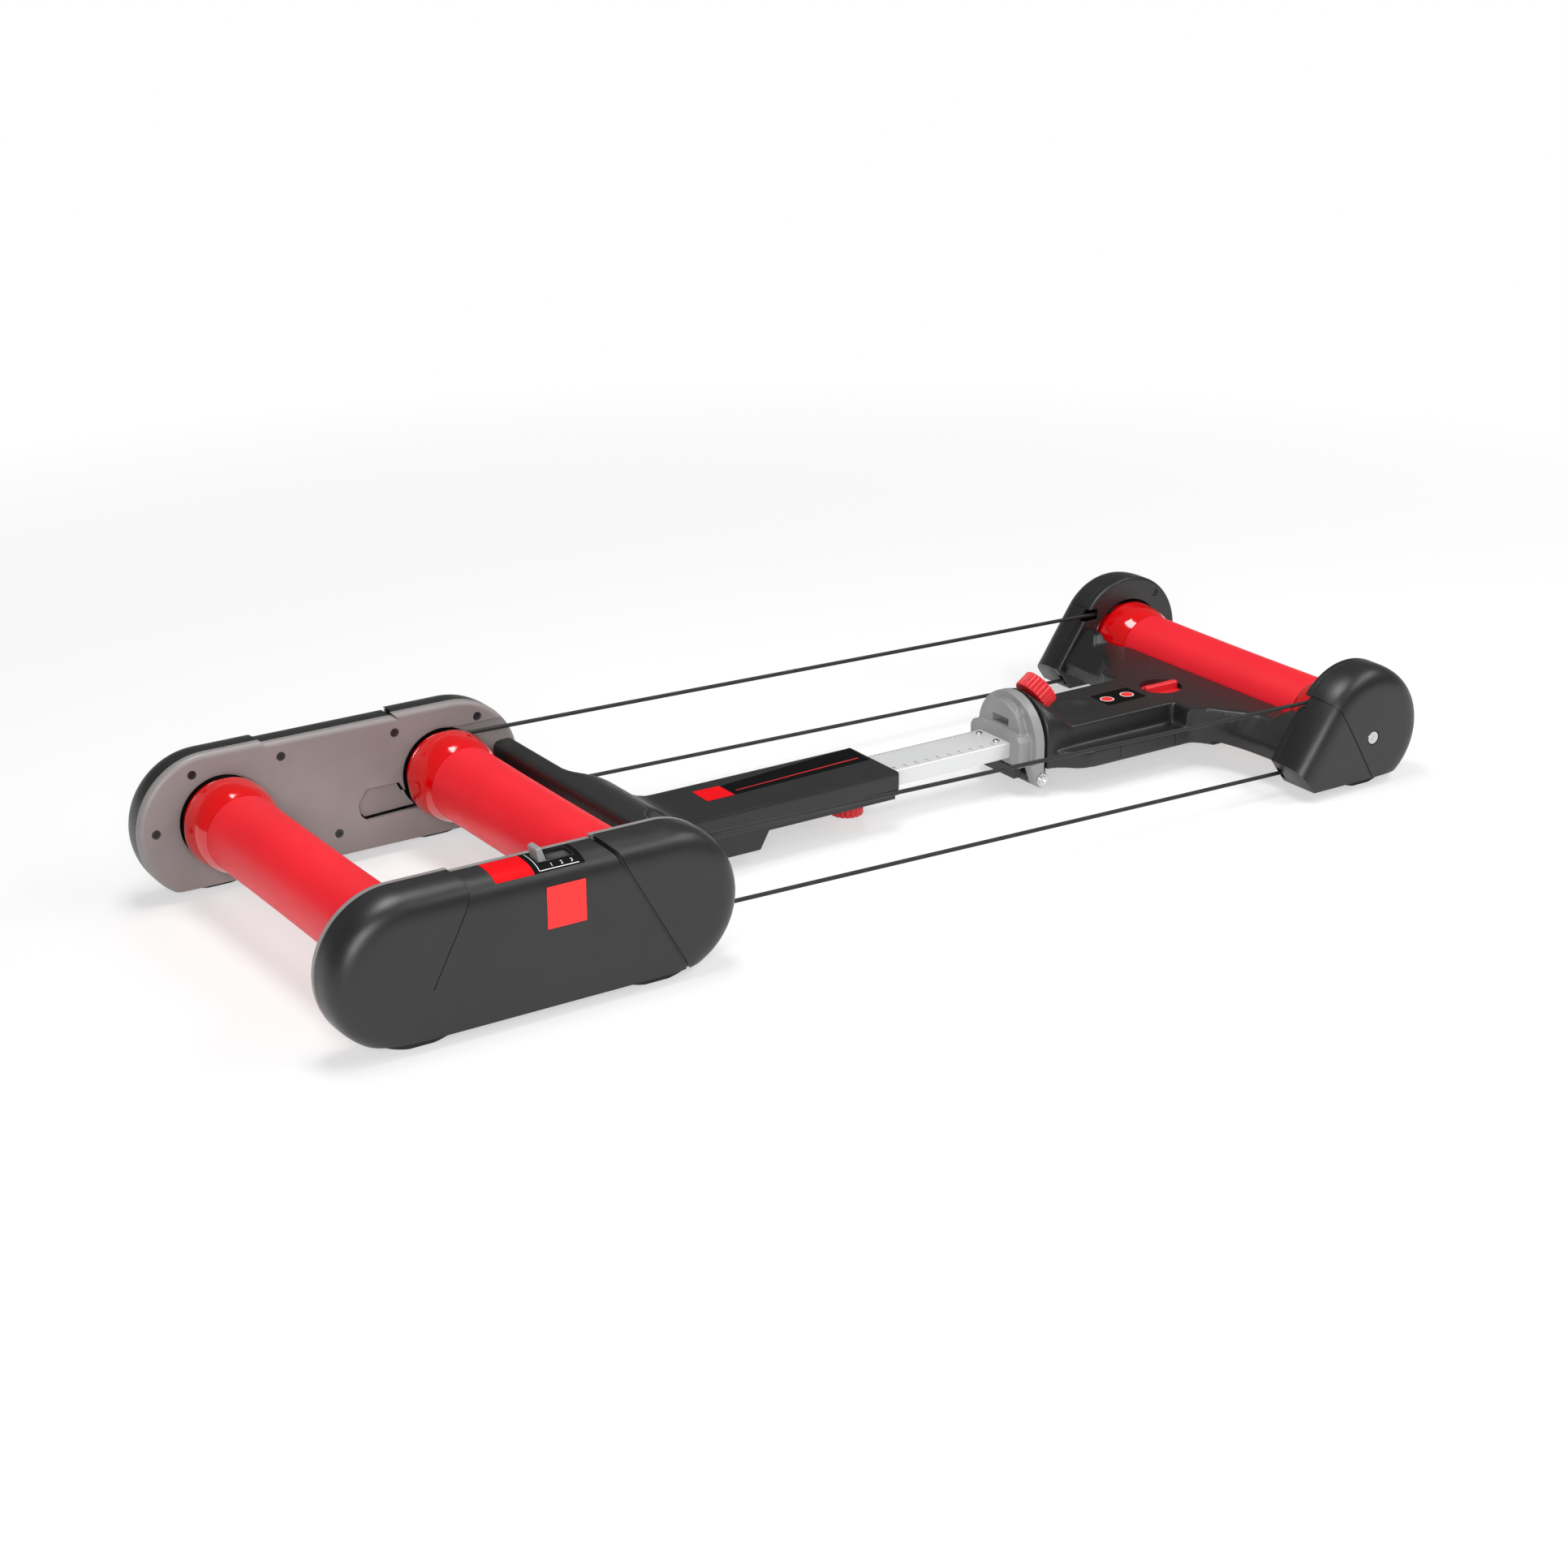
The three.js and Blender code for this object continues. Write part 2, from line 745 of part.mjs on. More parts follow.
function rocker(axleZ, faceY) {
  const radius = axleZ + rockerProud;
  const facet = Math.acos(axleZ / radius);
  const down = -Math.PI / 2;
  const shoulderAngle = Math.PI / 18;
  const shape = new THREE.Shape();
  shape.absarc(0, 0, radius, down - rockerHalfAngle, down - facet, false);
  shape.absarc(0, 0, radius, down + facet, down + rockerHalfAngle, false);
  shape.absarc(0, 0, rockerHubRadius, -shoulderAngle, Math.PI + shoulderAngle, false);
  const bore = new THREE.Path();
  bore.absarc(0, 0, axleRadius + seatGap, 0, 2 * Math.PI, true);
  shape.holes.push(bore);
  const outerY = faceY - rockerInset;
  return slabY(shape, outerY - rockerWidth, outerY, 10);
}

const rockerPlaces = [
  { name: "rear", x: 0, z: rearAxleZ, faceY: rearFaceY },
  { name: "middle", x: middleAxleX, z: rearAxleZ, faceY: rearFaceY },
  { name: "front", x: frontAxleX, z: frontAxleZ, faceY: frontFaceY },
];

for (const { name: side, group } of sides) {
  for (const { name, x, z, faceY } of rockerPlaces) {
    const mesh = piece(name + "_rocker_" + side, rocker(z, faceY), "rubber", group);
    mesh.position.set(x, 0, z);
  }
}

// Resistance lever with its pin, magnet arm and magnet, in the right rear housing

const leverGroup = new THREE.Group();
leverGroup.position.set(leverX, 0, leverZ);
sides[1].group.add(leverGroup);

function resistanceLever() {
  const half = leverArmWidth / 2;
  const top = rearEndZ + rearEndRadius + leverProud - leverZ;
  const tabBottom = top - leverTabHeight;
  const armHalf = leverTabThick / 3;
  const arm = block(-armHalf, armHalf, leverY - half, leverY + half, 0, tabBottom + half);
  const tabTopHalf = leverTabThick / 3;
  const tabBaseHalf = leverTabThick / 2;
  const tabShape = polygon([
    [-tabBaseHalf, tabBottom], [tabBaseHalf, tabBottom], [tabTopHalf, top], [-tabTopHalf, top],
  ]);
  const tab = slabY(tabShape, leverTabY - leverTabWidth / 2, leverTabY + leverTabWidth / 2);
  const hub = rod(leverHubRadius, leverY - half, leverY + half, 0, 0);
  const bore = rod(leverPinRadius + seatGap, leverY - leverTabWidth, leverY + leverTabWidth, 0, 0);
  return cut(joined(arm, tab, hub), bore);
}

const leverMesh = piece("resistance_lever", resistanceLever(), "grey", leverGroup);
leverMesh.rotation.y = -leverLean;

function magnetCarrier() {
  const half = leverHubRadius;
  const hub = rod(half, carrierInnerY, carrierOuterY, 0, 0);
  const arm = block(0, magnetReach, carrierInnerY, carrierOuterY, -half, half);
  const bore = rod(leverPinRadius + seatGap, carrierInnerY - half, carrierOuterY + half, 0, 0);
  return cut(joined(hub, arm), bore);
}

const carrierGroup = new THREE.Group();
carrierGroup.rotation.y = -leverLean;
leverGroup.add(carrierGroup);
piece("magnet_arm", magnetCarrier(), "steel", carrierGroup);
const magnetBody = block(
  magnetReach - magnetSize, magnetReach, magnetInnerY, magnetOuterY,
  -magnetSize / 2, magnetSize / 2);
piece("brake_magnet", magnetBody, "steel", carrierGroup);
const pinBody = rod(
  leverPinRadius, carrierInnerY - runningGap, rearFaceY - coverWall - seatGap, 0, 0, 16);
piece("lever_pin", pinBody, "steel", leverGroup);

// Rear beam: crossbar with the neck that holds the rail

function beamPlan() {
  const shape = new THREE.Shape();
  const endY = rearPlateY - seatGap;
  const filletY = neckHalf + neckFillet;
  const filletX = crossbarEnd + neckFillet;
  shape.moveTo(crossbarStart, -endY);
  shape.lineTo(crossbarEnd, -endY);
  shape.lineTo(crossbarEnd, -filletY);
  shape.quadraticCurveTo(crossbarEnd, -neckHalf, filletX, -neckHalf);
  shape.lineTo(neckEnd, -neckHalf);
  shape.lineTo(neckEnd, neckHalf);
  shape.lineTo(filletX, neckHalf);
  shape.quadraticCurveTo(crossbarEnd, neckHalf, crossbarEnd, filletY);
  shape.lineTo(crossbarEnd, endY);
  shape.lineTo(crossbarStart, endY);
  return shape;
}

function beamSide() {
  const shape = new THREE.Shape();
  const rampMid = (crossbarEnd + neckRampEnd) / 2;
  shape.moveTo(crossbarStart, crossbarBottom);
  shape.lineTo(crossbarEnd, crossbarBottom);
  shape.lineTo(crossbarEnd, neckBottom);
  shape.lineTo(neckEnd, neckBottom);
  shape.lineTo(neckEnd, neckTop);
  shape.lineTo(neckRampEnd, neckTop);
  shape.bezierCurveTo(rampMid, neckTop, rampMid, crossbarTop, crossbarEnd, crossbarTop);
  shape.lineTo(crossbarStart, crossbarTop);
  return shape;
}

function rearBeam() {
  const endY = rearPlateY - seatGap;
  const side = slabY(beamSide(), -endY, endY, 6);
  const plan = slabZ(beamPlan(), crossbarBottom - cutOverrun, crossbarTop + cutOverrun, 6);
  const channelEnd = crossbarEnd + coverWall;
  const channel = block(
    channelEnd, neckEnd + cutOverrun, -railHalf - seatGap, railHalf + seatGap,
    neckBottom - cutOverrun, railTop + seatGap);
  const beltZ = rearAxleZ - beltRunRadius;
  const beltPassages = [-1, 1].map((sign) => block(
    crossbarStart - cutOverrun, crossbarEnd + cutOverrun,
    sign * beltY - 2 * grooveHalf, sign * beltY + 2 * grooveHalf,
    crossbarBottom - cutOverrun, beltZ + 2 * grooveHalf));
  return cut(side.intersect(plan), channel, ...beltPassages);
}

piece("rear_beam", rearBeam(), "black");

function bellyCover() {
  const start = crossbarEnd + coverWall;
  const plateTop = neckBottom - seatGap;
  const plate = block(start, neckEnd, -bellyHalf, bellyHalf, bellyBottom, plateTop);
  const tongue = block(
    start, neckEnd, -railHalf, railHalf, plateTop - joinLap, railBottom - seatGap);
  const keelShape = polygon([
    [keelStart, bellyBottom + joinLap], [keelStart + keelSlope, keelBottom],
    [keelEnd - keelSlope, keelBottom], [keelEnd, bellyBottom + joinLap],
  ]);
  const keel = slabY(keelShape, -bellyHalf, bellyHalf);
  const hole = post(
    knobShaftRadius + seatGap, bellyBottom - cutOverrun, railBottom + cutOverrun, clampKnobX, 0);
  return cut(joined(plate, tongue, keel), hole);
}

piece("belly_cover", bellyCover(), "black");

// Clamp knob under the neck, which holds the rail

const clampKnob = joined(
  ridgedKnob(clampKnobRadius, bellyBottom - seatGap - clampKnobBottom, clampKnobRidges),
  post(knobShaftRadius, 0, railBottom - seatGap - clampKnobBottom, 0, 0));
const clampMesh = piece("clamp_knob", clampKnob, "knob");
clampMesh.position.set(clampKnobX, 0, clampKnobBottom);

// Rail with its end plug and screws

const railEnd = bracketStart + railSocket;
const railOuter = block(railStart, railEnd, -railHalf, railHalf, railBottom, railTop);
const railBore = block(
  railStart - cutOverrun, railEnd + cutOverrun, -railHalf + railWall, railHalf - railWall,
  railBottom + railWall, railTop - railWall);
piece("rail", cut(railOuter, railBore), "alloy");
const plugCap = block(
  railStart - coverWall - seatGap, railStart - seatGap, -railHalf, railHalf, railBottom, railTop);
const plugInset = railWall + seatGap;
const plugCore = block(
  railStart - seatGap - joinLap, railStart + capPlug, -railHalf + plugInset, railHalf - plugInset,
  railBottom + plugInset, railTop - plugInset);
piece("rail_end_plug", joined(plugCap, plugCore), "black");

const railScrew = post(railScrewRadius, 0, railScrewHead, 0, 0, 16);
for (const { name, group } of sides) {
  const mesh = piece("rail_screw_" + name, railScrew, "steel", group);
  mesh.position.set(bracketStart - railScrewInset, railScrewSide, railTop + seatGap);
}

// Hinge bracket

function domeShape(radius, centreZ, bottomZ) {
  const shape = new THREE.Shape();
  shape.moveTo(-radius, bottomZ);
  shape.lineTo(radius, bottomZ);
  shape.absarc(0, centreZ, radius, 0, Math.PI, false);
  return shape;
}

function hingeBracket() {
  const blockPart = block(
    bracketStart, bracketBlockEnd, -bracketBlockHalf, bracketBlockHalf,
    bracketBlockBottom, bracketBlockTop);
  const shoulder = slabX(
    domeShape(shoulderRadius, shoulderZ, bracketBlockBottom), shoulderStart, bracketBlockEnd, 14);
  const dome = slabX(
    domeShape(domeRadius, domeZ, domeBottom), bracketBlockEnd - joinLap, bracketFace, 18);
  const socket = block(
    bracketStart - cutOverrun, railEnd + seatGap, -railHalf - seatGap, railHalf + seatGap,
    railBottom - seatGap, railTop + seatGap);
  const window = block(
    shoulderStart - cutOverrun, shoulderStart + windowDepth, -windowHalf, windowHalf,
    windowBottom, windowTop);
  const lugs = [-1, 1].map((side) => {
    const inner = side * (knuckleHalf + seatGap + runningGap / 2);
    const outer = side * domeRadius;
    const [low, high] = [Math.min(inner, outer), Math.max(inner, outer)];
    const eye = rod(lugRadius, low, high, pinX, pinZ);
    const web = block(bracketBlockEnd, bracketFace, low, high, pinZ, domeBottom + joinLap);
    return joined(eye, web);
  });
  const knuckleRoom = rod(
    lugRadius + runningGap, -knuckleHalf - seatGap, knuckleHalf + seatGap, pinX, pinZ);
  const pinHole = rod(pinRadius + seatGap, -2 * domeRadius, 2 * domeRadius, pinX, pinZ, 16);
  return cut(joined(blockPart, shoulder, dome, ...lugs), socket, window, knuckleRoom, pinHole);
}

piece("hinge_bracket", hingeBracket(), "grey");

const stopEnd = bracketBlockEnd - runningGap - lugRadius;
piece("hinge_stop", block(
  stopEnd - stopLength, stopEnd, -stopHalf, stopHalf,
  bracketBlockBottom - seatGap - stopHeight, bracketBlockBottom - seatGap), "black");

const boltEnd = domeRadius + seatGap;
const boltNutRoom = boltEnd + 2 * boltHead;
const boltShank = rod(pinRadius, -boltEnd - boltHead, boltNutRoom, pinX, pinZ, 16);
const boltHeadBody = rod(boltHeadRadius, -boltEnd - boltHead, -boltEnd, pinX, pinZ, 24);
piece("hinge_bolt", joined(boltShank, boltHeadBody), "steel");
const nut = cut(
  rod(boltHeadRadius, boltEnd, boltEnd + boltHead, pinX, pinZ, 6),
  rod(pinRadius + seatGap, boltEnd - joinLap, boltEnd + boltHead + joinLap, pinX, pinZ, 16));
piece("hinge_nut", nut, "steel");

// Front beam

function frontPlan() {
  const armY = frontPlateY - seatGap;
  const shape = new THREE.Shape();
  const half = (sign) => [
    () => shape.bezierCurveTo(
      (beamStart + beamWide) / 2, sign * domeRadius,
      (beamStart + beamWide) / 2, sign * beamHalf, beamWide, sign * beamHalf),
    () => shape.lineTo(flareStart, sign * beamHalf),
    () => shape.bezierCurveTo(
      flareX, sign * beamHalf, armRearX, sign * (beamHalf + flareX - flareStart),
      armRearX, sign * armY),
    () => shape.lineTo(armFrontX, sign * armY),
    () => shape.lineTo(armFrontX, sign * armStepY),
    () => shape.lineTo(beamFrontX, sign * (armStepY - armBlockSlope)),
  ];
  shape.moveTo(beamStart, -domeRadius);
  half(-1).forEach((draw) => draw());
  const points = shape.getPoints(5);
  const mirrored = points.map((point) => new THREE.Vector2(point.x, -point.y)).reverse();
  return new THREE.Shape([...points, ...mirrored]);
}

function hump() {
  const steps = 4;
  const arcSteps = 16;
  const startTop = domeZ + domeRadius;
  const humpRootZ = (beamBottom + beamRim) / 2;
  const rings = [];
  for (let i = 0; i <= steps; i += 1) {
    const share = i / steps;
    const x = beamStart + share * (humpEnd - beamStart);
    const half = domeRadius + share * (beamBlockHalf - domeRadius);
    const power = 2 + 4 * share;
    const rise = startTop + share * (beamTop - startTop) - domeZ;
    const ring = [new THREE.Vector3(x, -half, humpRootZ)];
    ring.push(new THREE.Vector3(x, half, humpRootZ));
    for (let j = 0; j <= arcSteps; j += 1) {
      const angle = (Math.PI * j) / arcSteps;
      const across = Math.sign(Math.cos(angle)) * Math.abs(Math.cos(angle)) ** (2 / power);
      const up = Math.sin(angle) ** (2 / power);
      ring.push(new THREE.Vector3(x, half * across, domeZ + rise * up));
    }
    rings.push(ring);
  }
  return loft(rings);
}

function frontBeam() {
  const reach = frontPlateY + cutOverrun;
  const plan = frontPlan();
  const low = slabZ(plan, beamBottom, beamRim);
  const high = slabZ(plan, beamRim - joinLap, beamTop);
  const farX = beamFrontX + cutOverrun;
  const arms = high.intersect(block(
    flareStart, farX, -reach, reach, beamBottom, beamTop + cutOverrun));
  const core = block(
    humpEnd - joinLap, beamFrontX, -beamBlockHalf, beamBlockHalf, beamRim - joinLap, beamTop);
  const armUnder = [-1, 1].map((side) => {
    const near = side * (beamHalf + armBlockWidth);
    const far = side * reach;
    return block(
      beamStart, farX, Math.min(near, far), Math.max(near, far),
      beamBottom - cutOverrun, armBottom);
  });
  const armY = frontPlateY - seatGap;
  const blocks = [-1, 1].map((side) => {
    const inner = armY - armBlockWidth;
    const shape = polygon([
      [side * armY, beamTop - joinLap], [side * armY, armBlockTop],
      [side * inner, armBlockTop], [side * (inner - armBlockSlope), beamTop - joinLap],
    ]);
    return slabX(shape, armRearX + runningGap, armFrontX);
  });
  // The arms' rear faces lean forward, as the heels of the housings do
  const leanShape = polygon([
    [armRearX - cutOverrun, beamRim], [armRearX, beamRim], [armRearX + armLean, armBlockTop],
    [armRearX + armLean, armBlockTop + cutOverrun],
    [armRearX - cutOverrun, armBlockTop + cutOverrun],
  ]);
  const leans = [slabY(leanShape, -reach, -armLeanY), slabY(leanShape, armLeanY, reach)];
  const sphereRadius = (dishRadius ** 2 + dishDepth ** 2) / (2 * dishDepth);
  const sphere = new THREE.SphereGeometry(sphereRadius, 40, 36);
  sphere.rotateX(Math.PI / 2);
  sphere.translate(dishX, 0, beamTop - dishDepth + sphereRadius);
  const dish = solid(sphere);
  const recess = block(
    beamStart + recessWall, beamFrontX - recessWall, -recessHalf, recessHalf,
    beamBottom - cutOverrun, recessTop);
  const knobRecess = post(
    floatRecessRadius, beamTop - floatRecessDepth, beamTop + cutOverrun, floatKnobX, 0, 32);
  const knobHole = post(
    knobShaftRadius + seatGap, beamBottom, beamTop + cutOverrun, floatKnobX, 0, 16);
  const knuckle = rod(lugRadius, -knuckleHalf, knuckleHalf, pinX, pinZ);
  const knuckleWeb = block(
    pinX, beamStart + knuckleReach, -knuckleHalf, knuckleHalf, pinZ - lugRadius,
    beamBottom + joinLap);
  const webRelief = block(
    pinX - joinLap, beamStart - seatGap, -reach, reach, pinZ + lugRadius / 2,
    beamBottom + 2 * joinLap);
  const pinHole = rod(pinRadius + seatGap, -reach, reach, pinX, pinZ, 16);
  let beam = joined(low, arms, core, hump(), ...blocks);
  beam = cut(beam, ...armUnder, ...leans, dish, recess, knobRecess, knobHole);
  beam = joined(beam, cut(knuckleWeb, webRelief), knuckle);
  const seat = tilted(post(
    foldKnobRadius + 2 * runningGap, -foldKnobThick / 2 - seatGap, 3 * foldKnobThick, 0, 0, 24));
  const shaftHole = tilted(post(
    knobShaftRadius + seatGap, -foldKnobThick - foldShaftLength, 0, 0, 0, 16));
  return cut(beam, seat, shaftHole, pinHole);
}

// Turns a body drawn about Z to the fold knob's axis, at the knob's place
function tilted(body) {
  const geometry = geometryOf(body);
  geometry.rotateY(Math.PI / 2 - foldKnobTilt);
  geometry.translate(foldKnobX, 0, foldKnobZ);
  return solid(geometry);
}

piece("front_beam", frontBeam(), "black");

const foldKnobBody = ridgedKnob(foldKnobRadius, foldKnobThick, foldKnobRidges);
const foldKnob = joined(
  foldKnobBody.translate([0, 0, -foldKnobThick / 2]),
  post(knobShaftRadius, -foldKnobThick / 2 - foldShaftLength, 0, 0, 0, 16));
piece("fold_knob", tilted(foldKnob), "knob");

// Float lock knob and its cam

function floatKnob() {
  const base = beamTop - floatRecessDepth + seatGap;
  const radius = floatRecessRadius - runningGap;
  const disc = post(radius, base, base + floatKnobThick, 0, 0, 32);
  const gripTop = base + floatKnobThick + floatGripHeight;
  const gripLength = radius - runningGap;
  const grip = block(
    -gripLength, gripLength, -floatGripWidth / 2, floatGripWidth / 2, base + joinLap, gripTop);
  const shaft = post(knobShaftRadius, recessTop - 2 * camThick, base + joinLap, 0, 0, 16);
  return joined(disc, grip, shaft);
}

const floatGroup = new THREE.Group();
floatGroup.position.x = floatKnobX;
root.add(floatGroup);
piece("float_lock_knob", floatKnob(), "knob", floatGroup);
const camBody = cut(
  post(camRadius, recessTop - seatGap - camThick, recessTop - seatGap, camOffset, 0),
  post(knobShaftRadius + seatGap, recessTop - 2 * camThick, recessTop, 0, 0, 16));
piece("float_lock_cam", camBody, "black", floatGroup);

// Front housings: inner plates

const beltSlope = (rearAxleZ - frontAxleZ) / (frontAxleX - middleAxleX);

// Height of a belt's straight run at x, above or below the axle line
function beltRunZ(x, side) {
  return frontAxleZ + (frontAxleX - x) * beltSlope + side * beltRunRadius;
}

function beltSlot(side, y0, y1) {
  const z = beltRunZ(frontHeelX, side);
  return block(
    frontHeelX - cutOverrun, frontAxleX - frontOpeningRadius + cutOverrun, y0, y1,
    z - beltSlotHalf, z + beltSlotHalf);
}

function frontPlate() {
  const back = frontPlateY + plateDepth;
  const body = roundedSlab(frontOutline(), back, frontPlateY, plateRimWall, 0, 2);
  const hollow = roundedSlab(
    frontOutline(), frontPlateY + frontPlateWall, back + cutOverrun, seatGap, plateRimWall, 1);
  const opening = rod(
    frontOpeningRadius, frontPlateY - cutOverrun, back + cutOverrun, frontAxleX, frontAxleZ, 36);
  const floorWall = block(
    frontHeelX, frontEndX, frontPlateY, back + cutOverrun,
    housingFloorZ - joinLap, housingFloorZ + plateRimWall);
  const upperSlot = beltSlot(1, frontPlateY - cutOverrun, back + cutOverrun);
  const lowerSlot = beltSlot(-1, frontPlateY + frontPlateWall, back + cutOverrun);
  const hole = rod(
    screwHoleRadius, frontPlateY - cutOverrun, frontPlateY + frontPlateWall / 2,
    frontCentreX + frontScrewReach * Math.cos(frontScrewAngle),
    frontEndZ + frontScrewReach * Math.sin(frontScrewAngle), 12);
  const openingFloor = opening.intersect(block(
    frontHeelX, frontEndX, frontPlateY - 2 * cutOverrun, back + 2 * cutOverrun,
    housingFloorZ + plateRimWall, 2 * frontEndRadius));
  return cut(body, cut(hollow, floorWall), openingFloor, upperSlot, lowerSlot, hole);
}

// Front housings: outer covers

function frontCover() {
  const back = frontPlateY + plateDepth + seatGap;
  const { shell, room } = crownedCover(
    frontSkirtOutline(), frontOutline(), back, frontFaceY, frontCrownDrop, 5);
  const outer = shell.intersect(slabY(frontOutline(), back, frontFaceY));
  const boss = axleBoss(frontAxleX, frontAxleZ, frontFaceY, frontAxleHalf);
  const slot = rockerSlot(frontAxleX, frontAxleZ, frontFaceY);
  const screwRecess = rod(
    boltHeadRadius + joinLap, frontFaceY - coverWall + seatGap, frontFaceY + cutOverrun,
    frontAxleX, frontAxleZ);
  const screwHole = rod(
    leverPinRadius + seatGap, frontAxleHalf, frontFaceY + cutOverrun, frontAxleX, frontAxleZ, 16);
  const cover = joined(cut(outer, room), boss.add);
  return cut(cover, boss.take, slot, screwRecess, screwHole);
}

const axleScrew = joined(
  rod(boltHeadRadius, frontFaceY - coverWall + 2 * seatGap, frontFaceY - seatGap, 0, 0),
  rod(leverPinRadius, frontAxleHalf + seatGap, frontFaceY - joinLap, 0, 0, 16));

for (const { name, group } of sides) {
  piece(name + "_front_plate", frontPlate(), "black", group);
  piece(name + "_front_cover", frontCover(), "black", group);
  const screw = piece(name + "_axle_screw", axleScrew, "steel", group);
  screw.position.set(frontAxleX, 0, frontAxleZ);
}

export default root;
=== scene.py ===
"""Bike rollers: fine shapes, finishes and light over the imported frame."""
import json
from functools import partial
from math import acos, asin, atan2, copysign, cos, degrees, pi, radians, sin, sqrt, tan

import bmesh
import bpy
from mathutils import Matrix, Vector
from mathutils.bvhtree import BVHTree
from mathutils.interpolate import poly_3d_calc


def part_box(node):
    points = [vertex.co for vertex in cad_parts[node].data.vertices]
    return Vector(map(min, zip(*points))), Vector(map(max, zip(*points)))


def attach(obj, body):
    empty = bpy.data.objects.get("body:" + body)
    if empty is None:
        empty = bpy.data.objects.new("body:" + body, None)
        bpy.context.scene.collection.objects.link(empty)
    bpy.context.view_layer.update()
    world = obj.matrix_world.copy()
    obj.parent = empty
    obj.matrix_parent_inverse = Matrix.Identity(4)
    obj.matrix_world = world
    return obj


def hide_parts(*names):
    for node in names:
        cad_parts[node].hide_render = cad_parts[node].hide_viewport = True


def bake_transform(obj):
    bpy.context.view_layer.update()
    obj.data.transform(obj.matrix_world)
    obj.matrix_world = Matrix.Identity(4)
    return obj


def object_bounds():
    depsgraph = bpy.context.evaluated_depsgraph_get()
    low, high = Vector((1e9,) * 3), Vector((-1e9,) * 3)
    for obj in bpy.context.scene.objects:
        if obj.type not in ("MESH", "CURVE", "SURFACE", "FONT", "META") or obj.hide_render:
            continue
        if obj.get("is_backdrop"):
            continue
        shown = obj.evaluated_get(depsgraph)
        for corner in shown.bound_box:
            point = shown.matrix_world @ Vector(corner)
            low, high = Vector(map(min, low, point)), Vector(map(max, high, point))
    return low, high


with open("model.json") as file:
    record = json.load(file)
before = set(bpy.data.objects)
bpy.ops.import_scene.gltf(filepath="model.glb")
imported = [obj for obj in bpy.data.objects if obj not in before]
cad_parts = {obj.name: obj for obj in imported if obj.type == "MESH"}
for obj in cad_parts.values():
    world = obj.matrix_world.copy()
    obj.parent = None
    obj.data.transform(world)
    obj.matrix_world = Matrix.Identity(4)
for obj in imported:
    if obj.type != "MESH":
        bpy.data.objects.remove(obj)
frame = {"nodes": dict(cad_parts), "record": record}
scene = bpy.context.scene
cad_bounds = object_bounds()

# Lengths below are in millimetres: along X from the rear axle, along Z from the floor
MM = 0.001
FAR = 2000
QUARTER = pi / 2
LEVEL = Matrix.Identity(4)
SIDEWAYS = Vector((0, 1, 0))
SIDES = (("left", 1), ("right", -1))
# How far a tool reaches past what it cuts, how far a melted form reaches past what is cut
# flat later, and a distance to the side that lies past every piece
PAST, OVER, OUTSIDE = 5, 12, 300
# How many sides round forms have, and how wide the fine edges are
HEXAGON, THIN_SIDES, SMALL_SIDES, MIDDLE_SIDES = 6, 24, 32, 48
WIDE_SIDES, LARGE_SIDES, DRUM_SIDES = 64, 96, 128
FINE_EDGE, SMALL_EDGE, EDGE, WIDE_EDGE = 0.15, 0.25, 0.4, 0.5
joints = {joint["name"]: joint for joint in frame["record"]["behaviour"]["joints"]}
rear_x = joints["rear_drum_spin"]["pos_m"][0]
to_row = Matrix.Translation((rear_x, 0, 0)) @ Matrix.Scale(MM, 4)


def joint_place(name):
    """A joint's place in millimetres, counted from the rear axle along X."""
    x, y, z = joints[name]["pos_m"]
    return Vector(((x - rear_x) / MM, y / MM, z / MM))


def row(x, y, z):
    return to_row @ Vector((x, y, z))


def reach(node):
    """A node's lowest and highest corners, in millimetres from the rear axle."""
    low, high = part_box(node)
    back = to_row.inverted()
    return back @ low, back @ high


rear_axle = joint_place("rear_drum_spin")
middle_axle = joint_place("middle_drum_spin")
front_axle = joint_place("front_drum_spin")
hinge_pin = joint_place("front_fold")
lever_pivot = joint_place("resistance_lever_turn")
fold_knob_place = joint_place("fold_knob_turn")
float_knob_place = joint_place("float_lock_turn")
clamp_knob_place = joint_place("clamp_knob_turn")

# Outlines


def arc(cx, cz, radius, start, end, steps):
    """Points on an arc; angles are in degrees."""
    points = []
    for i in range(steps + 1):
        angle = radians(start + (end - start) * i / steps)
        points.append((cx + radius * cos(angle), cz + radius * sin(angle)))
    return points


def circle(cx, cz, radius, segments):
    """Points all the way round, without the first one again."""
    return arc(cx, cz, radius, 0, 360 - 360 / segments, segments - 1)


def curve(*corners, steps=12):
    """Points on a bending line from the first to the last of four corners."""
    points = []
    for i in range(steps + 1):
        t = i / steps
        weights = ((1 - t) ** 3, 3 * t * (1 - t) ** 2, 3 * t * t * (1 - t), t ** 3)
        points.append(tuple(sum((w * Vector(c) for w, c in zip(weights, corners)), Vector((0, 0)))))
    return points


def rectangle(u0, u1, v0, v1):
    return [(u0, v0), (u1, v0), (u1, v1), (u0, v1)]


def neighbours(outline):
    """Each corner with the corners before and after it."""
    count = len(outline)
    for i in range(count):
        yield [Vector(outline[k % count]) for k in (i - 1, i, i + 1)]


def rounded(corners, radius, steps=6):
    """An outline with every corner rounded by the same radius."""
    points, most = [], 1 / 2.01
    for a, b, c in neighbours(corners):
        near, far = (a - b).normalized(), (c - b).normalized()
        half = acos(max(-1, min(1, near.dot(far)))) / 2
        run = min(radius / tan(half), (a - b).length * most, (c - b).length * most)
        start, end = b + near * run, b + far * run
        for k in range(steps + 1):
            t = k / steps
            points.append(tuple(start * (1 - t) ** 2 + b * (2 * t * (1 - t)) + end * t * t))
    return points


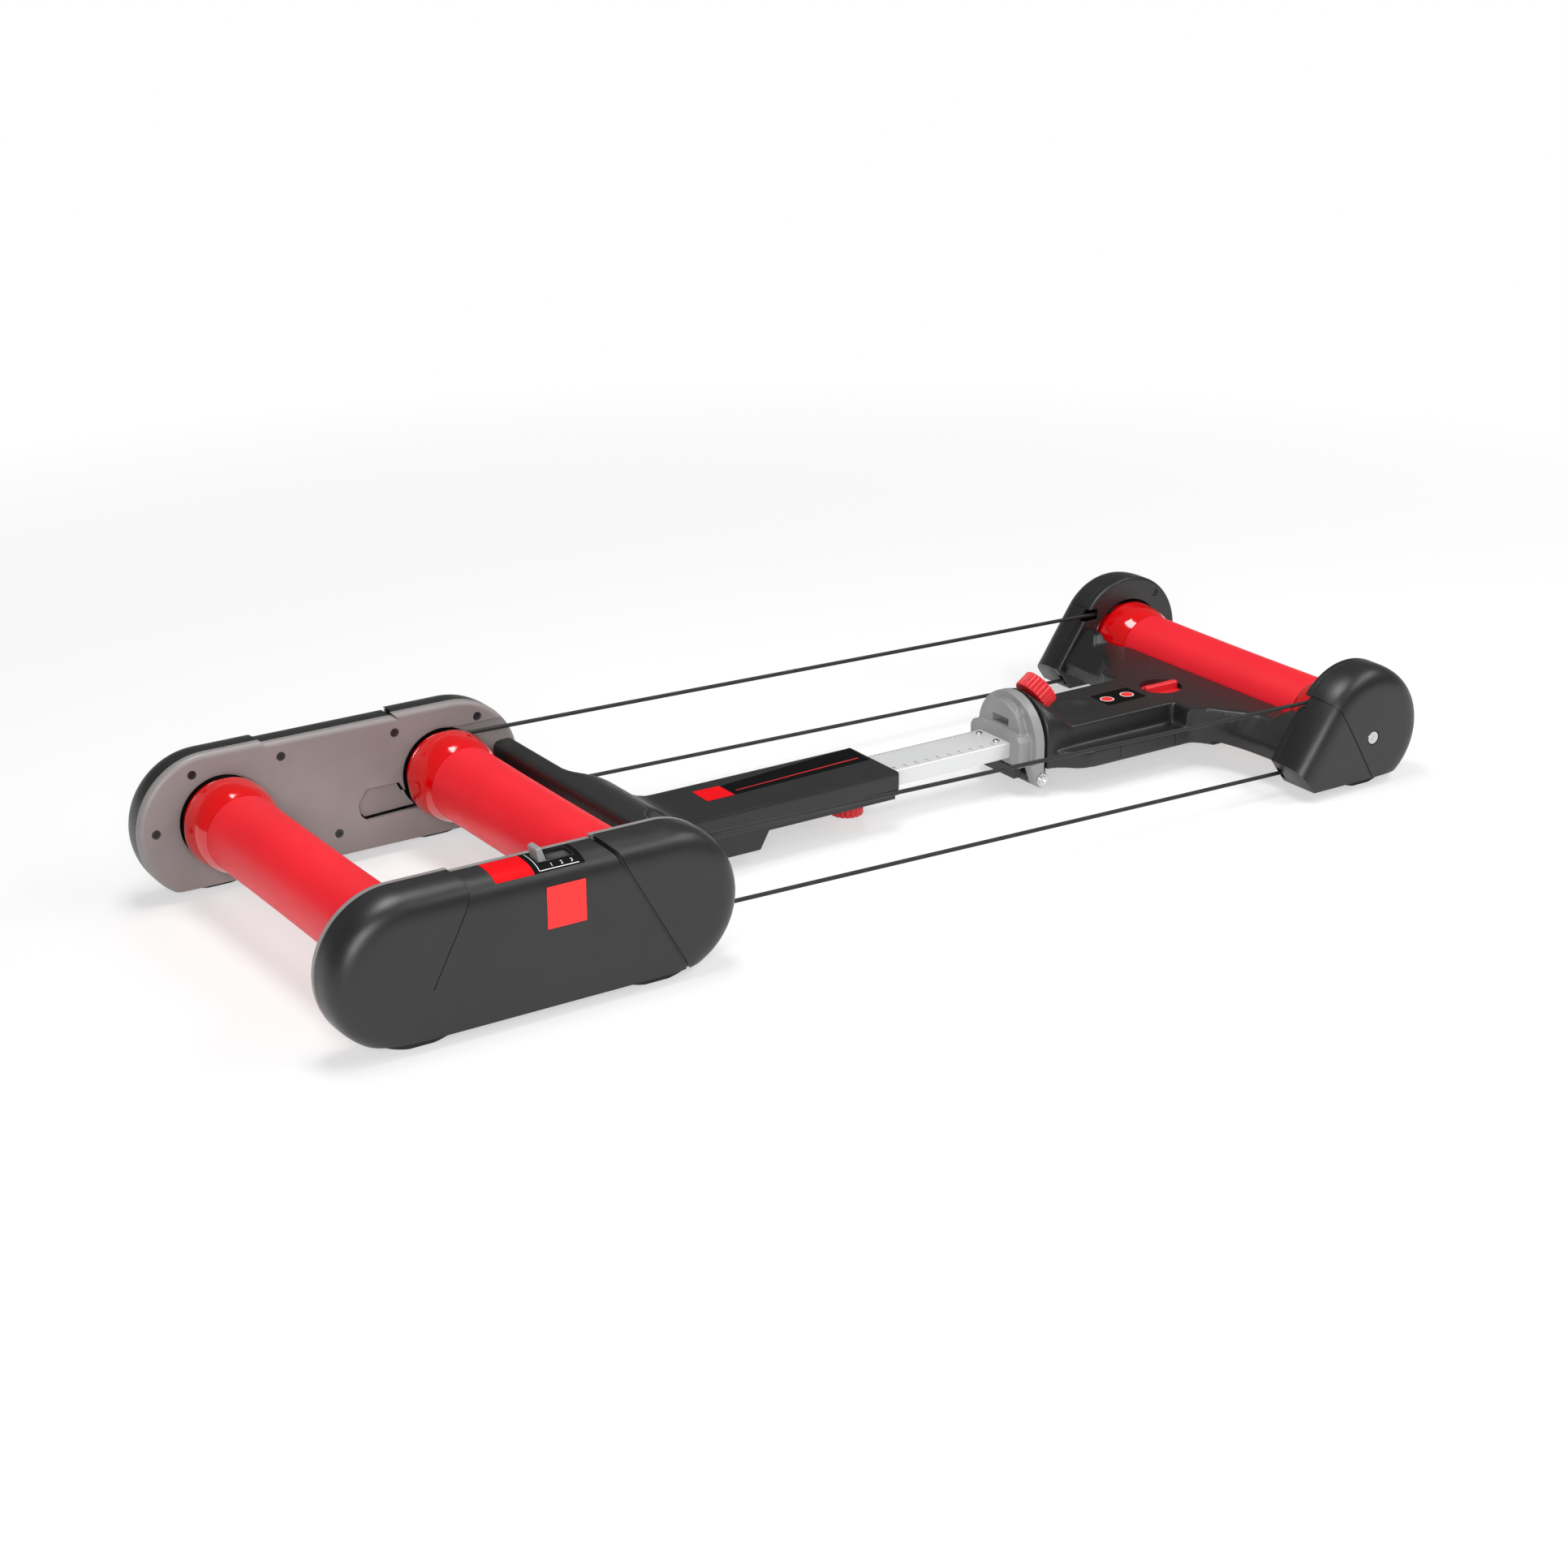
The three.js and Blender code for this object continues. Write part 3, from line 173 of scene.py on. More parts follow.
def inset(outline, distance):
    """The outline moved inwards (anticlockwise outlines)."""
    moved, sharpest = [], 0.2
    for a, b, c in neighbours(outline):
        before, after = (b - a).normalized(), (c - b).normalized()
        n1, n2 = Vector((-before.y, before.x)), Vector((-after.y, after.x))
        moved.append(b + (n1 + n2) * (distance / max(sharpest, 1 + n1.dot(n2))))
    return moved


def both_halves(outline):
    """The outline with its mirror image across Y, as one closed outline."""
    return outline + [(x, -y) for x, y in reversed(outline)]


# Closed forms


def linked(name, data):
    """A new object in the scene."""
    obj = bpy.data.objects.new(name, data)
    scene.collection.objects.link(obj)
    return obj


def cleaned(mesh):
    """An object of a mesh whose double points are merged and whose faces look outwards."""
    work = bmesh.new()
    work.from_mesh(mesh)
    bmesh.ops.remove_doubles(work, verts=work.verts, dist=MM * MM)
    bmesh.ops.recalc_face_normals(work, faces=work.faces)
    work.to_mesh(mesh)
    work.free()
    return linked("form", mesh)


def make(verts, faces):
    """A closed form from points in millimetres."""
    mesh = bpy.data.meshes.new("form")
    mesh.from_pydata([to_row @ Vector(v) for v in verts], [], faces)
    return cleaned(mesh)


def loft(rings):
    """A closed skin through rings of points."""
    count = len(rings[0])
    faces = []
    for level in range(len(rings) - 1):
        for i in range(count):
            j = (i + 1) % count
            low, high = level * count, (level + 1) * count
            faces.append((low + i, low + j, high + j, high + i))
    faces.append(tuple(range(count)))
    faces.append(tuple(range((len(rings) - 1) * count, len(rings) * count)))
    return make([point for ring in rings for point in ring], faces)


PLANES = {
    "xz": lambda u, v, h: (u, h, v),
    "xy": lambda u, v, h: (u, v, h),
    "yz": lambda u, v, h: (h, u, v),
}


def stack(outline, levels, plane="xz"):
    """A closed skin over the outline at each level, a pair of inset and height."""
    place = PLANES[plane]
    return loft([[place(p[0], p[1], h) for p in (inset(outline, depth) if depth else outline)]
                 for depth, h in levels])


def prism(outline, h0, h1, plane="xz", round0=0, round1=0, steps=6, shrink=0):
    """A slab from an outline, with its edges rounded at either end."""
    levels = []
    for end, radius, way in ((h0, round0, h1 - h0), (h1, round1, h0 - h1)):
        ring = []
        for i in range(steps + 1 if radius else 1):
            angle = QUARTER * (i / steps if radius else 1)
            ring.append((radius * (1 - sin(angle)) + shrink,
                         end + copysign(radius, way) * (1 - cos(angle))))
        levels += ring[::-1] if levels else ring
    return stack(outline, levels, plane)


def box(x0, x1, y0, y1, z0, z1):
    """A block, whose ends along Y come in any order."""
    return prism(rectangle(x0, x1, min(y0, y1), max(y0, y1)), z0, z1, "xy")


def below(z):
    """All that lies lower than z."""
    return box(-FAR, FAR, -FAR, FAR, -FAR, z)


def lathe(profile, centre, segments, side=1, turn=Matrix.Rotation(-QUARTER, 4, "X")):
    """A closed (radius, height) profile turned about Y, or about a turned Z, through centre."""
    place = Matrix.Translation(centre) @ turn
    count = len(profile)
    verts, faces = [], []
    for i in range(segments):
        angle = 2 * pi * i / segments
        for radius, height in profile:
            local = Vector((radius * cos(angle), radius * sin(angle), side * height))
            verts.append(place @ local)
        k = (i + 1) % segments
        for j in range(count):
            n = (j + 1) % count
            faces.append((i * count + j, i * count + n, k * count + n, k * count + j))
    return make(verts, faces)


def bar(plane, radius, h0, h1, u, v, segments=MIDDLE_SIDES, round0=0, round1=0):
    """A solid round bar that stands across a plane."""
    return prism(circle(u, v, radius, segments), h0, h1, plane, round0, round1, 4)


# Bars along Y, placed by X and Z, and bars along Z, placed by X and Y
rod = partial(bar, "xz")
post = partial(bar, "xy")


def sunk(s, face, radius, start, end, x, z, segments=MIDDLE_SIDES):
    """A rod on one side, whose ends are counted outwards from a face."""
    return rod(radius, s * (face + start), s * (face + end), x, z, segments)


def moved(obj, centre, turn=LEVEL):
    """Moves a shape drawn about the rear axle's foot to a place, turned by a matrix."""
    obj.data.transform(to_row @ Matrix.Translation(centre) @ turn @ to_row.inverted())
    return obj


# Work on whole shapes


def bake(obj):
    """Applies the object's modifiers to its mesh."""
    bpy.context.view_layer.update()
    depsgraph = bpy.context.evaluated_depsgraph_get()
    mesh = bpy.data.meshes.new_from_object(obj.evaluated_get(depsgraph))
    obj.modifiers.clear()
    obj.data = mesh
    return obj


def boolean(operation, obj, *tools):
    """Works each tool into the object, and uses it up."""
    for tool in tools:
        modifier = obj.modifiers.new("work", "BOOLEAN")
        modifier.operation = operation
        modifier.solver = "EXACT"
        modifier.object = tool
        bake(obj)
        bpy.data.objects.remove(tool)
    return obj


cut = partial(boolean, "DIFFERENCE")
join = partial(boolean, "UNION")
meet = partial(boolean, "INTERSECT")


def moulded(obj, grid, rounds):
    """Melts a blocky shape's edges together, as in a moulding."""
    remesh = obj.modifiers.new("skin", "REMESH")
    remesh.mode = "VOXEL"
    remesh.voxel_size = grid * MM
    smooth = obj.modifiers.new("soft", "SMOOTH")
    smooth.factor = 0.5
    smooth.iterations = rounds
    return bake(obj)


def round_edges(obj, width, segments=3, angle=30):
    bevel = obj.modifiers.new("edges", "BEVEL")
    bevel.width = width * MM
    bevel.segments = segments
    bevel.limit_method = "ANGLE"
    bevel.angle_limit = radians(angle)
    bevel.use_clamp_overlap = True
    return obj


def shade(obj, name, finish):
    """Names a piece, and gives it its finish and smooth shading."""
    obj.name = name
    obj.data.materials.clear()
    obj.data.materials.append(finish)
    for face in obj.data.polygons:
        face.use_smooth = True
        face.material_index = 0


def dress(obj, name, finish, body, edge=0, segments=2, angle=32, crease=35):
    """Gives a piece its name, finish, fine edges and body."""
    shade(obj, name, finish)
    if edge:
        round_edges(obj, edge, segments, angle)
        normals = obj.modifiers.new("normals", "WEIGHTED_NORMAL")
        normals.keep_sharp = False
        normals.weight = 80
    else:
        obj.data.set_sharp_from_angle(angle=radians(crease))
    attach(obj, body)
    return obj


def stand_in(obj, node, finish, body, **edges):
    """Dresses a piece that stands for one of the frame's nodes."""
    dress(obj, node + "_form", finish, body, **edges)
    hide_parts(node)


def smooth_as(obj, *shells):
    """Shades a cut piece's outer skin as the uncut shells that its surface lies on."""
    near, same_way = 0.05 * MM, 0.8
    skins = [(shell.data, BVHTree.FromPolygons([v.co for v in shell.data.vertices],
                                               [f.vertices for f in shell.data.polygons]))
             for shell in shells]
    mesh = obj.data
    normals = [corner.vector.copy() for corner in mesh.corner_normals]
    for face in mesh.polygons:
        for loop, vertex in zip(face.loop_indices, face.vertices):
            for skin, tree in skins:
                place, _, index, gap = tree.find_nearest(mesh.vertices[vertex].co)
                if gap > near:
                    continue
                corners = [skin.vertices[i] for i in skin.polygons[index].vertices]
                weights = poly_3d_calc([corner.co for corner in corners], place)
                normal = sum((w * c.normal for w, c in zip(weights, corners)), Vector())
                normal.normalize()
                if normal.dot(face.normal) > same_way:
                    normals[loop] = normal
                    break
    mesh.normals_split_custom_set(normals)
    for shell in shells:
        bpy.data.objects.remove(shell)


# Finishes

COAT_ROUGHNESS, GRAIN_DEPTH, SHADE_SCALE, SHADE_ENDS = 0.08, 0.0003, 9, (0.3, 0.7)


def add_node(tree, kind, **values):
    """A new shader node with some of its inputs set."""
    node = tree.nodes.new("ShaderNode" + kind)
    for name, value in values.items():
        node.inputs[name.replace("_", " ")].default_value = value
    return node


def finish(name, slot, color, roughness, metallic=0.0, coat=0.0, grain=0.0, grain_scale=2200,
           spread=0.12, rough_spread=0.08, stretch=(1, 1, 1), specular=0.5, mark_scale=60):
    """A procedural finish: grain in the surface, slow changes of shade and of gloss."""
    material = bpy.data.materials.new(name)
    material.use_nodes = True
    material["slot"] = slot
    tree = material.node_tree
    link = tree.links.new
    shader = tree.nodes["Principled BSDF"].inputs
    shader["Metallic"].default_value = metallic
    shader["Coat Weight"].default_value = coat
    shader["Coat Roughness"].default_value = COAT_ROUGHNESS
    shader["Specular IOR Level"].default_value = specular
    place = add_node(tree, "TexCoord").outputs["Object"]
    mapping = add_node(tree, "Mapping", Scale=stretch)
    link(place, mapping.inputs["Vector"])

    def noise(scale, detail, source=mapping.outputs["Vector"]):
        texture = add_node(tree, "TexNoise", Scale=scale, Detail=detail)
        link(source, texture.inputs["Vector"])
        return texture.outputs["Fac"]

    ramp = add_node(tree, "ValToRGB")
    ends = zip(ramp.color_ramp.elements, SHADE_ENDS, (1 - spread, 1 + spread))
    for end, position, factor in ends:
        end.position = position
        end.color = [min(1, c * factor) for c in color] + [1]
    link(noise(SHADE_SCALE, 4, place), ramp.inputs["Fac"])
    link(ramp.outputs["Color"], shader["Base Color"])
    gloss = add_node(tree, "MapRange", To_Min=max(0.02, roughness - rough_spread),
                     To_Max=min(1, roughness + rough_spread))
    link(noise(mark_scale, 5), gloss.inputs["Value"])
    link(gloss.outputs["Result"], shader["Roughness"])
    if grain:
        bump = add_node(tree, "Bump", Strength=grain, Distance=GRAIN_DEPTH)
        link(noise(grain_scale, 2), bump.inputs["Height"])
        link(bump.outputs["Normal"], shader["Normal"])
    return material


black = finish("black_moulding", "black_plastic", (0.013, 0.013, 0.013), 0.37, grain=0.35,
               specular=0.55)
plate_grey = finish("plate_moulding", "plate_plastic", (0.25, 0.232, 0.228), 0.4, grain=0.25)
grey = finish("grey_moulding", "grey_plastic", (0.26, 0.26, 0.264), 0.38, grain=0.2)
drum_red = finish("drum_soft_red", "drum_plastic", (0.8, 0.01, 0.022), 0.46, grain=0.12,
                  spread=0.05, mark_scale=25)
cap_red = finish("cap_gloss_red", "cap_plastic", (0.62, 0.0, 0.0015), 0.12, coat=0.6,
                 spread=0.04, rough_spread=0.03)
knob_red = finish("knob_red", "knob_plastic", (0.66, 0.018, 0.026), 0.36, grain=0.15, spread=0.06)
rubber = finish("belt_rubber", "rubber", (0.014, 0.014, 0.014), 0.6, grain=0.3)
rocker_rubber = finish("rocker_rubber", "rubber", (0.02, 0.02, 0.02), 0.7, grain=0.4)
rail_metal = finish("anodised_rail", "aluminium", (0.72, 0.725, 0.73), 0.4, metallic=0.3,
                    grain=0.1, grain_scale=900, stretch=(0.02, 1, 1), spread=0.02)
disc_metal = finish("turned_disc", "aluminium", (0.7, 0.7, 0.71), 0.3, metallic=1, grain=0.1)
steel = finish("zinc_steel", "steel", (0.62, 0.62, 0.61), 0.26, metallic=1, grain=0.06)
dark_steel = finish("dark_steel", "steel", (0.05, 0.05, 0.05), 0.34, metallic=0.7)
sticker_red = finish("sticker_red", "cap_plastic", (0.72, 0.002, 0.006), 0.4, spread=0.02,
                     rough_spread=0.03, specular=0.1)
badge_red = finish("badge_red", "cap_plastic", (0.78, 0.03, 0.03), 0.4, spread=0.02, specular=0.3)
sticker_black = finish("sticker_black", "black_plastic", (0.004, 0.004, 0.004), 0.5,
                       spread=0.02, rough_spread=0.03, specular=0.05)
print_white = finish("print_white", "aluminium", (0.75, 0.75, 0.75), 0.5, spread=0.02)
print_dark = finish("print_dark", "black_plastic", (0.04, 0.04, 0.04), 0.5, spread=0.02, specular=0.1)

# The frame's own nodes that stay: a part of the name, the finish and the width of the edges
STAYING = (
    ("bearing", steel, 0), ("rocker", rocker_rubber, 0.6), ("belly_cover", black, 1.5),
    ("hinge_stop", black, 3), ("rail_end_plug", black, 0.6), ("float_lock_cam", black, 0.5),
    ("magnet_arm", steel, 0.4), ("brake_magnet", dark_steel, 0.3), ("hinge_nut", steel, 0.4),
    ("brake_disc", disc_metal, 0.4), ("lever_pin", steel, 0.4), ("rear_axle", steel, 0.6),
    ("middle_axle", steel, 0.6), ("front_axle", steel, 0.6),
)
for name, node in frame["nodes"].items():
    for part, material, width in STAYING:
        if part in name:
            node.data.materials.clear()
            node.data.materials.append(material)
            if width:
                round_edges(node, width, angle=40)

# Drums

TUBE_HALF, TUBE_MID, TUBE_END, TUBE_BORE, TUBE_EDGE = 150, 41.4, 42.2, 39.2, 0.4
WALL_STEPS = 32
CAP_PROFILE = (
    (42.2, 150.4), (42.9, 152.2), (43.9, 154.4), (45.1, 157), (46.3, 160), (47.4, 164),
    (48.3, 168.5), (49.1, 174), (49.8, 180), (50.2, 185), (50.3, 188.2), (50.1, 190.4),
    (49.5, 192), (48.3, 193), (46.6, 193.6), (43.4, 194.5), (39.6, 195.6), (37.6, 196.2),
    (37.0, 196.9), (37.0, 201.1), (37.6, 201.8), (39.6, 202.3), (42.4, 202.8), (43.5, 203.3),
    (44, 204), (44, 205.9), (43.5, 206.4), (22.6, 206.5), (22, 207.1), (22, 209.5),
    (21.5, 210), (13.3, 210), (13.3, 201.8), (7.5, 201.8), (7.5, 198), (35.4, 194), (35.4, 135),
    (38.6, 135), (38.9, 135.4), (38.9, 150.3),
)


def add_drum(name, axle):
    profile = [(TUBE_BORE, TUBE_HALF), (TUBE_BORE, -TUBE_HALF), (TUBE_END - TUBE_EDGE, -TUBE_HALF)]
    for i in range(WALL_STEPS + 1):
        share = 2 * i / WALL_STEPS - 1
        profile.append((TUBE_MID + (TUBE_END - TUBE_MID) * share * share,
                        share * (TUBE_HALF - TUBE_EDGE)))
    profile.append((TUBE_END - TUBE_EDGE, TUBE_HALF))
    centre = (axle.x, 0, axle.z)
    stand_in(lathe(profile, centre, DRUM_SIDES), name + "_tube", drum_red, name)
    for side, s in SIDES:
        cap = lathe(CAP_PROFILE, centre, DRUM_SIDES, s)
        stand_in(cap, f"{name}_cap_{side}", cap_red, name)


for name, axle in (("rear", rear_axle), ("middle", middle_axle), ("front", front_axle)):
    add_drum(name + "_drum", axle)

# Belts, each in two runs that meet between the neck and the hinge

BELT_Y, BELT_RUN, BELT_RADIUS, BELT_SPLIT, BLEND_Z = 199, 39.6, 2.3, 720, 80
STRAIGHT_STEPS, BEND_STEPS, BELT_SEGMENTS = 80, 32, 12
BELT_RUNS = (
    ("rear", middle_axle, -1, ("rear_frame", "rail"), 360, BELT_SPLIT - 10),
    ("front", front_axle, 1, ("rail", "front_frame"), 780, 1040),
)
slope = atan2(front_axle.z - middle_axle.z, front_axle.x - middle_axle.x)


def belt_half(axle, turn, s):
    """The part of a belt from the split, round one drum, and back to the split."""
    along = Vector((cos(slope), 0, sin(slope)))
    across = Vector((-sin(slope), 0, cos(slope)))
    split = middle_axle + along * ((BELT_SPLIT - middle_axle.x) / along.x)
    out, home = across * -turn * BELT_RUN, across * turn * BELT_RUN
    path = [(split + out).lerp(axle + out, i / STRAIGHT_STEPS) for i in range(STRAIGHT_STEPS)]
    for i in range(BEND_STEPS + 1):
        angle = pi * i / BEND_STEPS
        offset = across * -turn * cos(angle) + along * turn * sin(angle)
        path.append(axle + offset * BELT_RUN)
    for i in range(1, STRAIGHT_STEPS + 1):
        path.append((axle + home).lerp(split + home, i / STRAIGHT_STEPS))
    rings = []
    for before, point, after in zip(path[:1] + path, path, path[1:] + path[-1:]):
        up = (after - before).normalized().cross(SIDEWAYS)
        middle, ring = Vector((point.x, s * BELT_Y, point.z)), []
        for k in range(BELT_SEGMENTS):
            angle = 2 * pi * k / BELT_SEGMENTS
            ring.append(middle + (up * cos(angle) + SIDEWAYS * sin(angle)) * BELT_RADIUS)
        rings.append(ring)
    return loft(rings)


for side, s in SIDES:
    for run, axle, turn, bodies, start, end in BELT_RUNS:
        half = belt_half(axle, turn, s)
        shade(half, f"{side}_belt_{run}_run", rubber)
        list(bodies)
        row(start, 0, BLEND_Z)
        row(end, 0, BLEND_Z)
        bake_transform(half)
        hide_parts(side + "_belt")

# Rear housings

FLOOR_Z, END_R, END_Z = 12, 80.5, 79
TOP_Z = END_Z + END_R
PLATE_Y, PLATE_BACK, PLATE_WALL, PLATE_RIM, PLATE_ROUND = 205.8, 215.8, 5, 4, 6
COVER_BACK, COVER_Y, COVER_WALL = 216.1, 259.3, 3
CROWN_START, REAR_CROWN, CROWN_POWER = 3, 37, 3
SKIRT, SKIRT_BEND, SADDLE_DROP, OUTLINE_STEPS = 60, 60, 3, 40
CREASE = ((47, 172), (48, 161), (53, 152), (52, 146), (35, 113), (8, 62))
SEAM = ((196, 172), (203, 159.5), (212.5, 150), (219, 134), (260, 61), (290, 8))
CREASE_WIDTH, CREASE_DEPTH, SEAM_WIDTH, SEAM_DEPTH, GROOVE_LAP = 1.1, 0.9, 4, 2.5, 9
OPENING_R, OPENING_STEP, OPENING_LEDGE = 48, 2.2, 1.2
PLATE_SCREWS = ((-74.5, 82), (-30.5, 139), (70, 139), (203.5, 138.5), (304, 137.5), (131.5, 37.5))
POCKET = ((155.3, 64.8), (158.2, 52.4), (165, 45), (240, 47.8), (240, 70), (212, 70),
          (206.2, 81), (166, 81.3))[::-1]
POCKET_WALL, POCKET_ROUND, POCKET_DEPTH, BELT_SLOT, BELT_SLOT_DEPTH = 2, 5, 8, 7, 3
ROCKER_INSET, ROCKER_WIDTH, ROCKER_PLAY, ROCKER_LIFT = 16, 14, 1.5, 8
BOSS_R, BOSS_START, AXLE_HOLE_R, AXLE_HOLE_START = 12.3, -14.5, 6.3, -20
REAR_BOSS_END, REAR_HOLE_END = -3.8, -7
# A plate screw's room, head and key hole: the radius, and the start and end from the plate's face
REAR_SCREW = ((5.2, -PAST, 3.2), (4.4, 1.3, 3.2), (2.2, -1, 2.6))
rear_centre, front_centre = rear_axle.x - 13, middle_axle.x + 15


def rear_outline():
    return (arc(front_centre, END_Z, END_R, -90, 90, OUTLINE_STEPS)
            + arc(rear_centre, END_Z, END_R, 90, 270, OUTLINE_STEPS))


def rear_skirt():
    """The rear outline with a skirt below the floor line, which its crown doesn't reach."""
    low = FLOOR_Z - SKIRT
    bend = radians(SKIRT_BEND)
    fall = END_Z - END_R * sin(bend) - low
    run = END_R * cos(bend) - fall * tan(bend)
    return ([(front_centre + run, low)]
            + arc(front_centre, END_Z, END_R, -SKIRT_BEND, 90, OUTLINE_STEPS)
            + arc(rear_centre, END_Z, END_R, 90, 180 + SKIRT_BEND, OUTLINE_STEPS)
            + [(rear_centre - run, low)])


def crowned(outline, s, back, start, face, drop, shrink, steps=20):
    """A cover's solid: straight up to the start, then rounding off into its flat face."""
    levels = [(shrink, s * back)]
    for i in range(steps + 1):
        angle = QUARTER * i / steps
        fall = 1 - cos(angle) ** (2 / CROWN_POWER)
        rise = sin(angle) ** (2 / CROWN_POWER)
        levels.append((drop * fall + shrink, s * (start + (face - start) * rise)))
    return stack(outline, levels)


def dropped(shape):
    shape.data.transform(Matrix.Translation((0, 0, -SADDLE_DROP * MM)))
    return shape


def saddle_cut(shape, lower):
    """Takes off the top of a shape between the crease and the seam, to a lower copy of it."""
    outline = list(CREASE[:0:-1]) + [(CREASE[1][0], FAR), (SEAM[1][0], FAR)] + list(SEAM[1:])
    return cut(shape, cut(prism(outline[::-1], -FAR, FAR), dropped(lower)))


def plate_screw(plate, sizes, s, face, x, z):
    """Makes room for a screw in a plate, and gives its head."""
    sides = (SMALL_SIDES, SMALL_SIDES, HEXAGON)
    room, head, key = (sunk(s, face, *size, x, z, n) for size, n in zip(sizes, sides))
    cut(plate, room)
    return cut(head, key)


def rear_plate(side, s):
    def blank():
        return prism(rear_outline(), s * PLATE_Y, s * PLATE_BACK, round0=PLATE_ROUND)

    plate = saddle_cut(blank(), blank())
    near, back = s * (PLATE_Y - PAST), s * (PLATE_BACK + PAST)
    inner = prism(rear_outline(), s * (PLATE_Y + PLATE_WALL), back, shrink=PLATE_RIM + SADDLE_DROP)
    cut(inner, below(FLOOR_Z + PLATE_RIM), prism(inset(POCKET, -POCKET_WALL), -FAR, FAR))
    cut(plate, inner, below(FLOOR_Z))
    for x in (rear_axle.x, middle_axle.x):
        cut(plate, rod(OPENING_R, near, back, x, rear_axle.z, LARGE_SIDES),
            sunk(s, PLATE_Y, OPENING_R + OPENING_STEP, -PAST, OPENING_LEDGE, x, rear_axle.z,
                 LARGE_SIDES))
    heads = [plate_screw(plate, REAR_SCREW, s, PLATE_Y, x, z) for x, z in PLATE_SCREWS]
    belt_z = rear_axle.z + BELT_RUN
    slot = rectangle(middle_axle.x, FAR, belt_z - BELT_SLOT, belt_z + BELT_SLOT)
    cut(plate, prism(slot, near, s * (PLATE_Y + BELT_SLOT_DEPTH)),
        prism(rounded(POCKET, POCKET_ROUND), near, s * (PLATE_Y + POCKET_DEPTH)))
    stand_in(plate, f"{side}_rear_plate", plate_grey, "rear_frame", edge=WIDE_EDGE)
    dress(join(*heads), f"{side}_plate_screws", dark_steel, "rear_frame", edge=SMALL_EDGE)


def groove(body_shape, path, width):
    """A tool that follows a line on a shape's skin, as deep as the shape is below the skin."""
    pieces = []
    for start, end in zip(path, path[1:]):
        start, end = Vector(start), Vector(end)
        ahead = (end - start).normalized()
        side = Vector((-ahead.y, ahead.x)) * width / 2
        a, b = start - ahead * width / 2, end + ahead * width / 2
        pieces.append(prism([a - side, b - side, b + side, a + side], -FAR, FAR))
    return cut(join(*pieces), body_shape)


def rear_blank(s, shrink=0, back=COVER_BACK, face=COVER_Y):
    start = COVER_BACK + CROWN_START
    return crowned(rear_skirt(), s, back, start, face, REAR_CROWN, shrink)


def rear_shell(s, *place):
    """The rear cover's outer shape with its saddle."""
    return saddle_cut(rear_blank(s, *place), rear_blank(s, *place))


def lever_slot(grow=0):
    """The outline of the lever's slot in the top of the right rear cover."""
    low, high = reach("resistance_lever")
    half, play = SLOT_HALF + grow, SLOT_PLAY + grow
    return rectangle(lever_pivot.x - half, lever_pivot.x + half, low.y - play, high.y + play)


def axle_seat(cover, s, face, x, z, boss_end, hole_end):
    """Opens a cover's floor over a rocker, and holds the axle's end in a boss."""
    half = sqrt((z + 1) ** 2 - (z - FLOOR_Z - COVER_WALL) ** 2) + ROCKER_PLAY
    outer = face - ROCKER_INSET + ROCKER_PLAY
    inner = face - ROCKER_INSET - ROCKER_WIDTH - ROCKER_PLAY
    cut(cover, box(x - half, x + half, s * outer, s * inner, 0, FLOOR_Z + ROCKER_LIFT))
    join(cover, sunk(s, face, BOSS_R, BOSS_START, boss_end, x, z))
    cut(cover, sunk(s, face, AXLE_HOLE_R, AXLE_HOLE_START, hole_end, x, z))


def rear_cover(side, s):
    cover = cut(rear_shell(s), below(FLOOR_Z))
    grooves = ((CREASE, CREASE_WIDTH, CREASE_DEPTH), (SEAM, SEAM_WIDTH, SEAM_DEPTH))
    for path, width, depth in grooves:
        core = rear_shell(s, depth, COVER_BACK - GROOVE_LAP, COVER_Y - depth)
        cut(cover, groove(core, path, width))
    inner = rear_shell(s, COVER_WALL + 1, COVER_BACK - PAST, COVER_Y - COVER_WALL - 1)
    cut(cover, cut(inner, below(FLOOR_Z + COVER_WALL)))
    for x in (rear_axle.x, middle_axle.x):
        axle_seat(cover, s, COVER_Y, x, rear_axle.z, REAR_BOSS_END, REAR_HOLE_END)
    if side == "right":
        cut(cover, prism(rounded(lever_slot(), SLOT_ROUND), SLOT_LOW, LABEL_HIGH, "xy"))
    bake(round_edges(cover, EDGE, 2))
    stand_in(cover, f"{side}_rear_cover", black, "rear_frame")
    smooth_as(cover, rear_blank(s), dropped(rear_blank(s)))


# Stickers and prints of the right rear cover

SLOT_HALF, SLOT_PLAY, SLOT_ROUND, SLOT_LOW = 19.7, 0.5, 2, TOP_Z - 12
LABEL_DEEP = 25
LABEL_LOW, LABEL_HIGH = TOP_Z - LABEL_DEEP, TOP_Z + 9
STICKER_OUTER, STICKER_INNER = -251, -COVER_BACK - 1.2
STICKER_THICK, STICKER_BASE, PRINT_THICK, BADGE_THICK = 0.25, 0.02, 0.4, 0.3
RED_STICKER, BLACK_STICKER, BADGE = (81, 123), (123.3, 178), (130.6, 173.4, 93, 136.5)
SCALE_LINE, SCALE_ROW, SCALE_WIDTH, SCALE_STOP = (128.6, 129.3), (130, 172), 0.5, 1.5
SETTINGS, SETTING_SIZE, SETTING_ROW, BADGE_ROUND, BADGE_SINK = (144, 155, 166), 5.5, 4, 1, 0.05


def on_cover(form, thick=STICKER_THICK, base=STICKER_BASE):
    """The right rear cover's skin inside a form, as a thin solid."""
    back = COVER_BACK - GROOVE_LAP
    meet(form, rear_shell(-1, -thick, back, COVER_Y + thick))
    return cut(form, rear_shell(-1, -base, back - 1, COVER_Y + base))


def on_top(*ends):
    """A block that reaches through the cover's top."""
    return box(*ends, LABEL_LOW, LABEL_HIGH)


